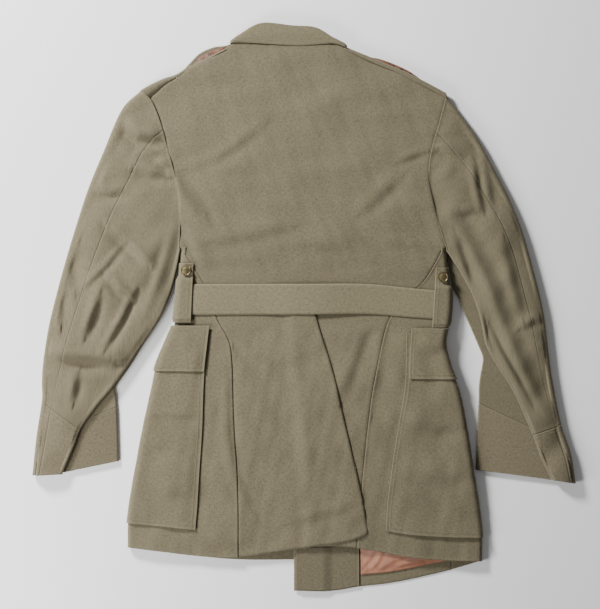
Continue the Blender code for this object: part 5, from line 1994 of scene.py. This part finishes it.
@dataclass
class Studio:
    """Pale floor, soft lights and the camera straight above."""

    frame_high: float = 913.5
    look_x: float = -6.05
    look_y: float = 4.3
    lens: float = 100.0
    sensor: float = 36.0

    def floor(self) -> None:
        """Make the pale floor."""
        bpy.ops.object.select_all(action="DESELECT")
        bpy.ops.mesh.primitive_plane_add(size=12, location=(0, 0, -0.0004))
        floor = bpy.context.object
        floor.name = "floor"
        nodes = Nodes("pale_floor")
        nodes.put(nodes.shader, "Base Color", (0.93, 0.93, 0.93, 1.0))
        nodes.put(nodes.shader, "Roughness", 0.9)
        nodes.put(nodes.shader, "Specular IOR Level", 0.1)
        floor.data.materials.append(nodes.material)
        floor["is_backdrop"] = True

    def light(self, name: str, place: tuple[float, float, float], size: float, power: float) -> None:
        """Hang one soft light that faces the jacket.

        Args:
            name: Name of the light.
            place: Where it hangs, in m.
            size: Its width, in m.
            power: Its power, in W.
        """
        lamp = bpy.data.lights.new(name, "AREA")
        lamp.shape = "DISK"
        lamp.size = size
        lamp.energy = power
        holder = bpy.data.objects.new(name, lamp)
        holder.location = place
        direction = -np.array(place)
        holder.rotation_euler = (
            math.atan2(math.hypot(direction[0], direction[1]), -direction[2]),
            0.0,
            math.atan2(direction[1], direction[0]) - math.pi / 2,
        )
        bpy.context.scene.collection.objects.link(holder)

    def camera(self) -> None:
        """Hang the camera straight above the jacket."""
        view = bpy.data.cameras.new("camera")
        view.lens = self.lens
        view.sensor_width = self.sensor
        view.sensor_fit = "AUTO"
        view.clip_end = 20.0
        height = self.frame_high * MM * self.lens / self.sensor + 0.012
        holder = bpy.data.objects.new("camera", view)
        holder.location = (self.look_x * MM, self.look_y * MM, height)
        bpy.context.scene.collection.objects.link(holder)
        bpy.context.scene.camera = holder

    def build(self) -> None:
        """Set the stage."""
        self.floor()
        world = bpy.data.worlds.new("studio")
        world.use_nodes = True
        world.node_tree.nodes["Background"].inputs["Color"].default_value = (1.0, 1.0, 1.0, 1.0)
        world.node_tree.nodes["Background"].inputs["Strength"].default_value = 0.2
        bpy.context.scene.world = world
        self.light("key", (-1.25, 1.4, 0.98), 0.45, 97)
        self.light("side", (-0.95, -0.6, 0.7), 0.7, 19)
        self.camera()


def corners(box: object) -> list[list[float]]:
    """Corners of a box as plain lists."""
    return [[float(value) for value in corner] for corner in box]


def main() -> None:
    """Dress the jacket and set the studio."""
    logging.basicConfig(level=logging.INFO, format="%(message)s")
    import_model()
    cad_box = corners(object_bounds())
    Studio().build()
    BackPanels().build()
    SideWork(LEFT, -331.0, (-95.0, -27.0), LEFT_CARRIER, (164, 168)).build()
    SideWork(RIGHT, -336.0, (-106.0, -31.0), RIGHT_CARRIER, (199, 193)).build()
    right_front = Front(RIGHT, RIGHT_FRONT_EDGE)
    Front(LEFT, LEFT_FRONT_EDGE).build()
    right_front.build()
    Insides(right_front).build()
    Belt().build()
    Sleeve(LEFT, LEFT_SLEEVE, hind=0.25).build()
    Sleeve(RIGHT, RIGHT_SLEEVE, hind=0.23).build()
    Collar().build()
    FlatPiece("strap_left", LEFT_STRAP, STRAP_CLOTH, DRAB, outward=-1).build()
    FlatPiece("strap_right", RIGHT_STRAP, STRAP_CLOTH, DRAB).build()
    low = STRAP_CLOTH + 0.3
    straps = (("left", LEFT_STRAP, 0.13, 1), ("right", RIGHT_STRAP, 0.03, -1))
    for side, strap, margin, outward in straps:
        rungs = lining_of(strap, margin)
        name, below = f"strap_lining_{side}", (f"strap_{side}",)
        FlatPiece(name, rungs, LINING_CLOTH, SALMON_PAINTED_SHADE_STITCHED, low, outward, below, 0.35).build()
    FlatPiece("lapel_left", LEFT_LAPEL, LAPEL_CLOTH, DRAB, outward=-1).build()
    FlatPiece("lapel_right", RIGHT_LAPEL, LAPEL_CLOTH, DRAB).build()
    rise = CLOTH / 2 + LAID + CARRIER_CLOTH + 0.4
    Button("carrier_button_left", -175.5, 56, float(top_of(56.0)) + rise, BUTTON_SIDE, 4.2).build()
    Button("carrier_button_right", 209, 46, float(top_of(46.0)) + rise, BUTTON_SIDE, 4.2).build()
    for number, y in enumerate(BUTTON_FRONT_ROWS, start=1):
        Button(f"front_button_{number}", 4, y, 0.0, BUTTON_FRONT, 2.8, face_up=False).build()
    Buckle().build()
    scene_box = corners(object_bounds())


if __name__ == "__main__":
    main()
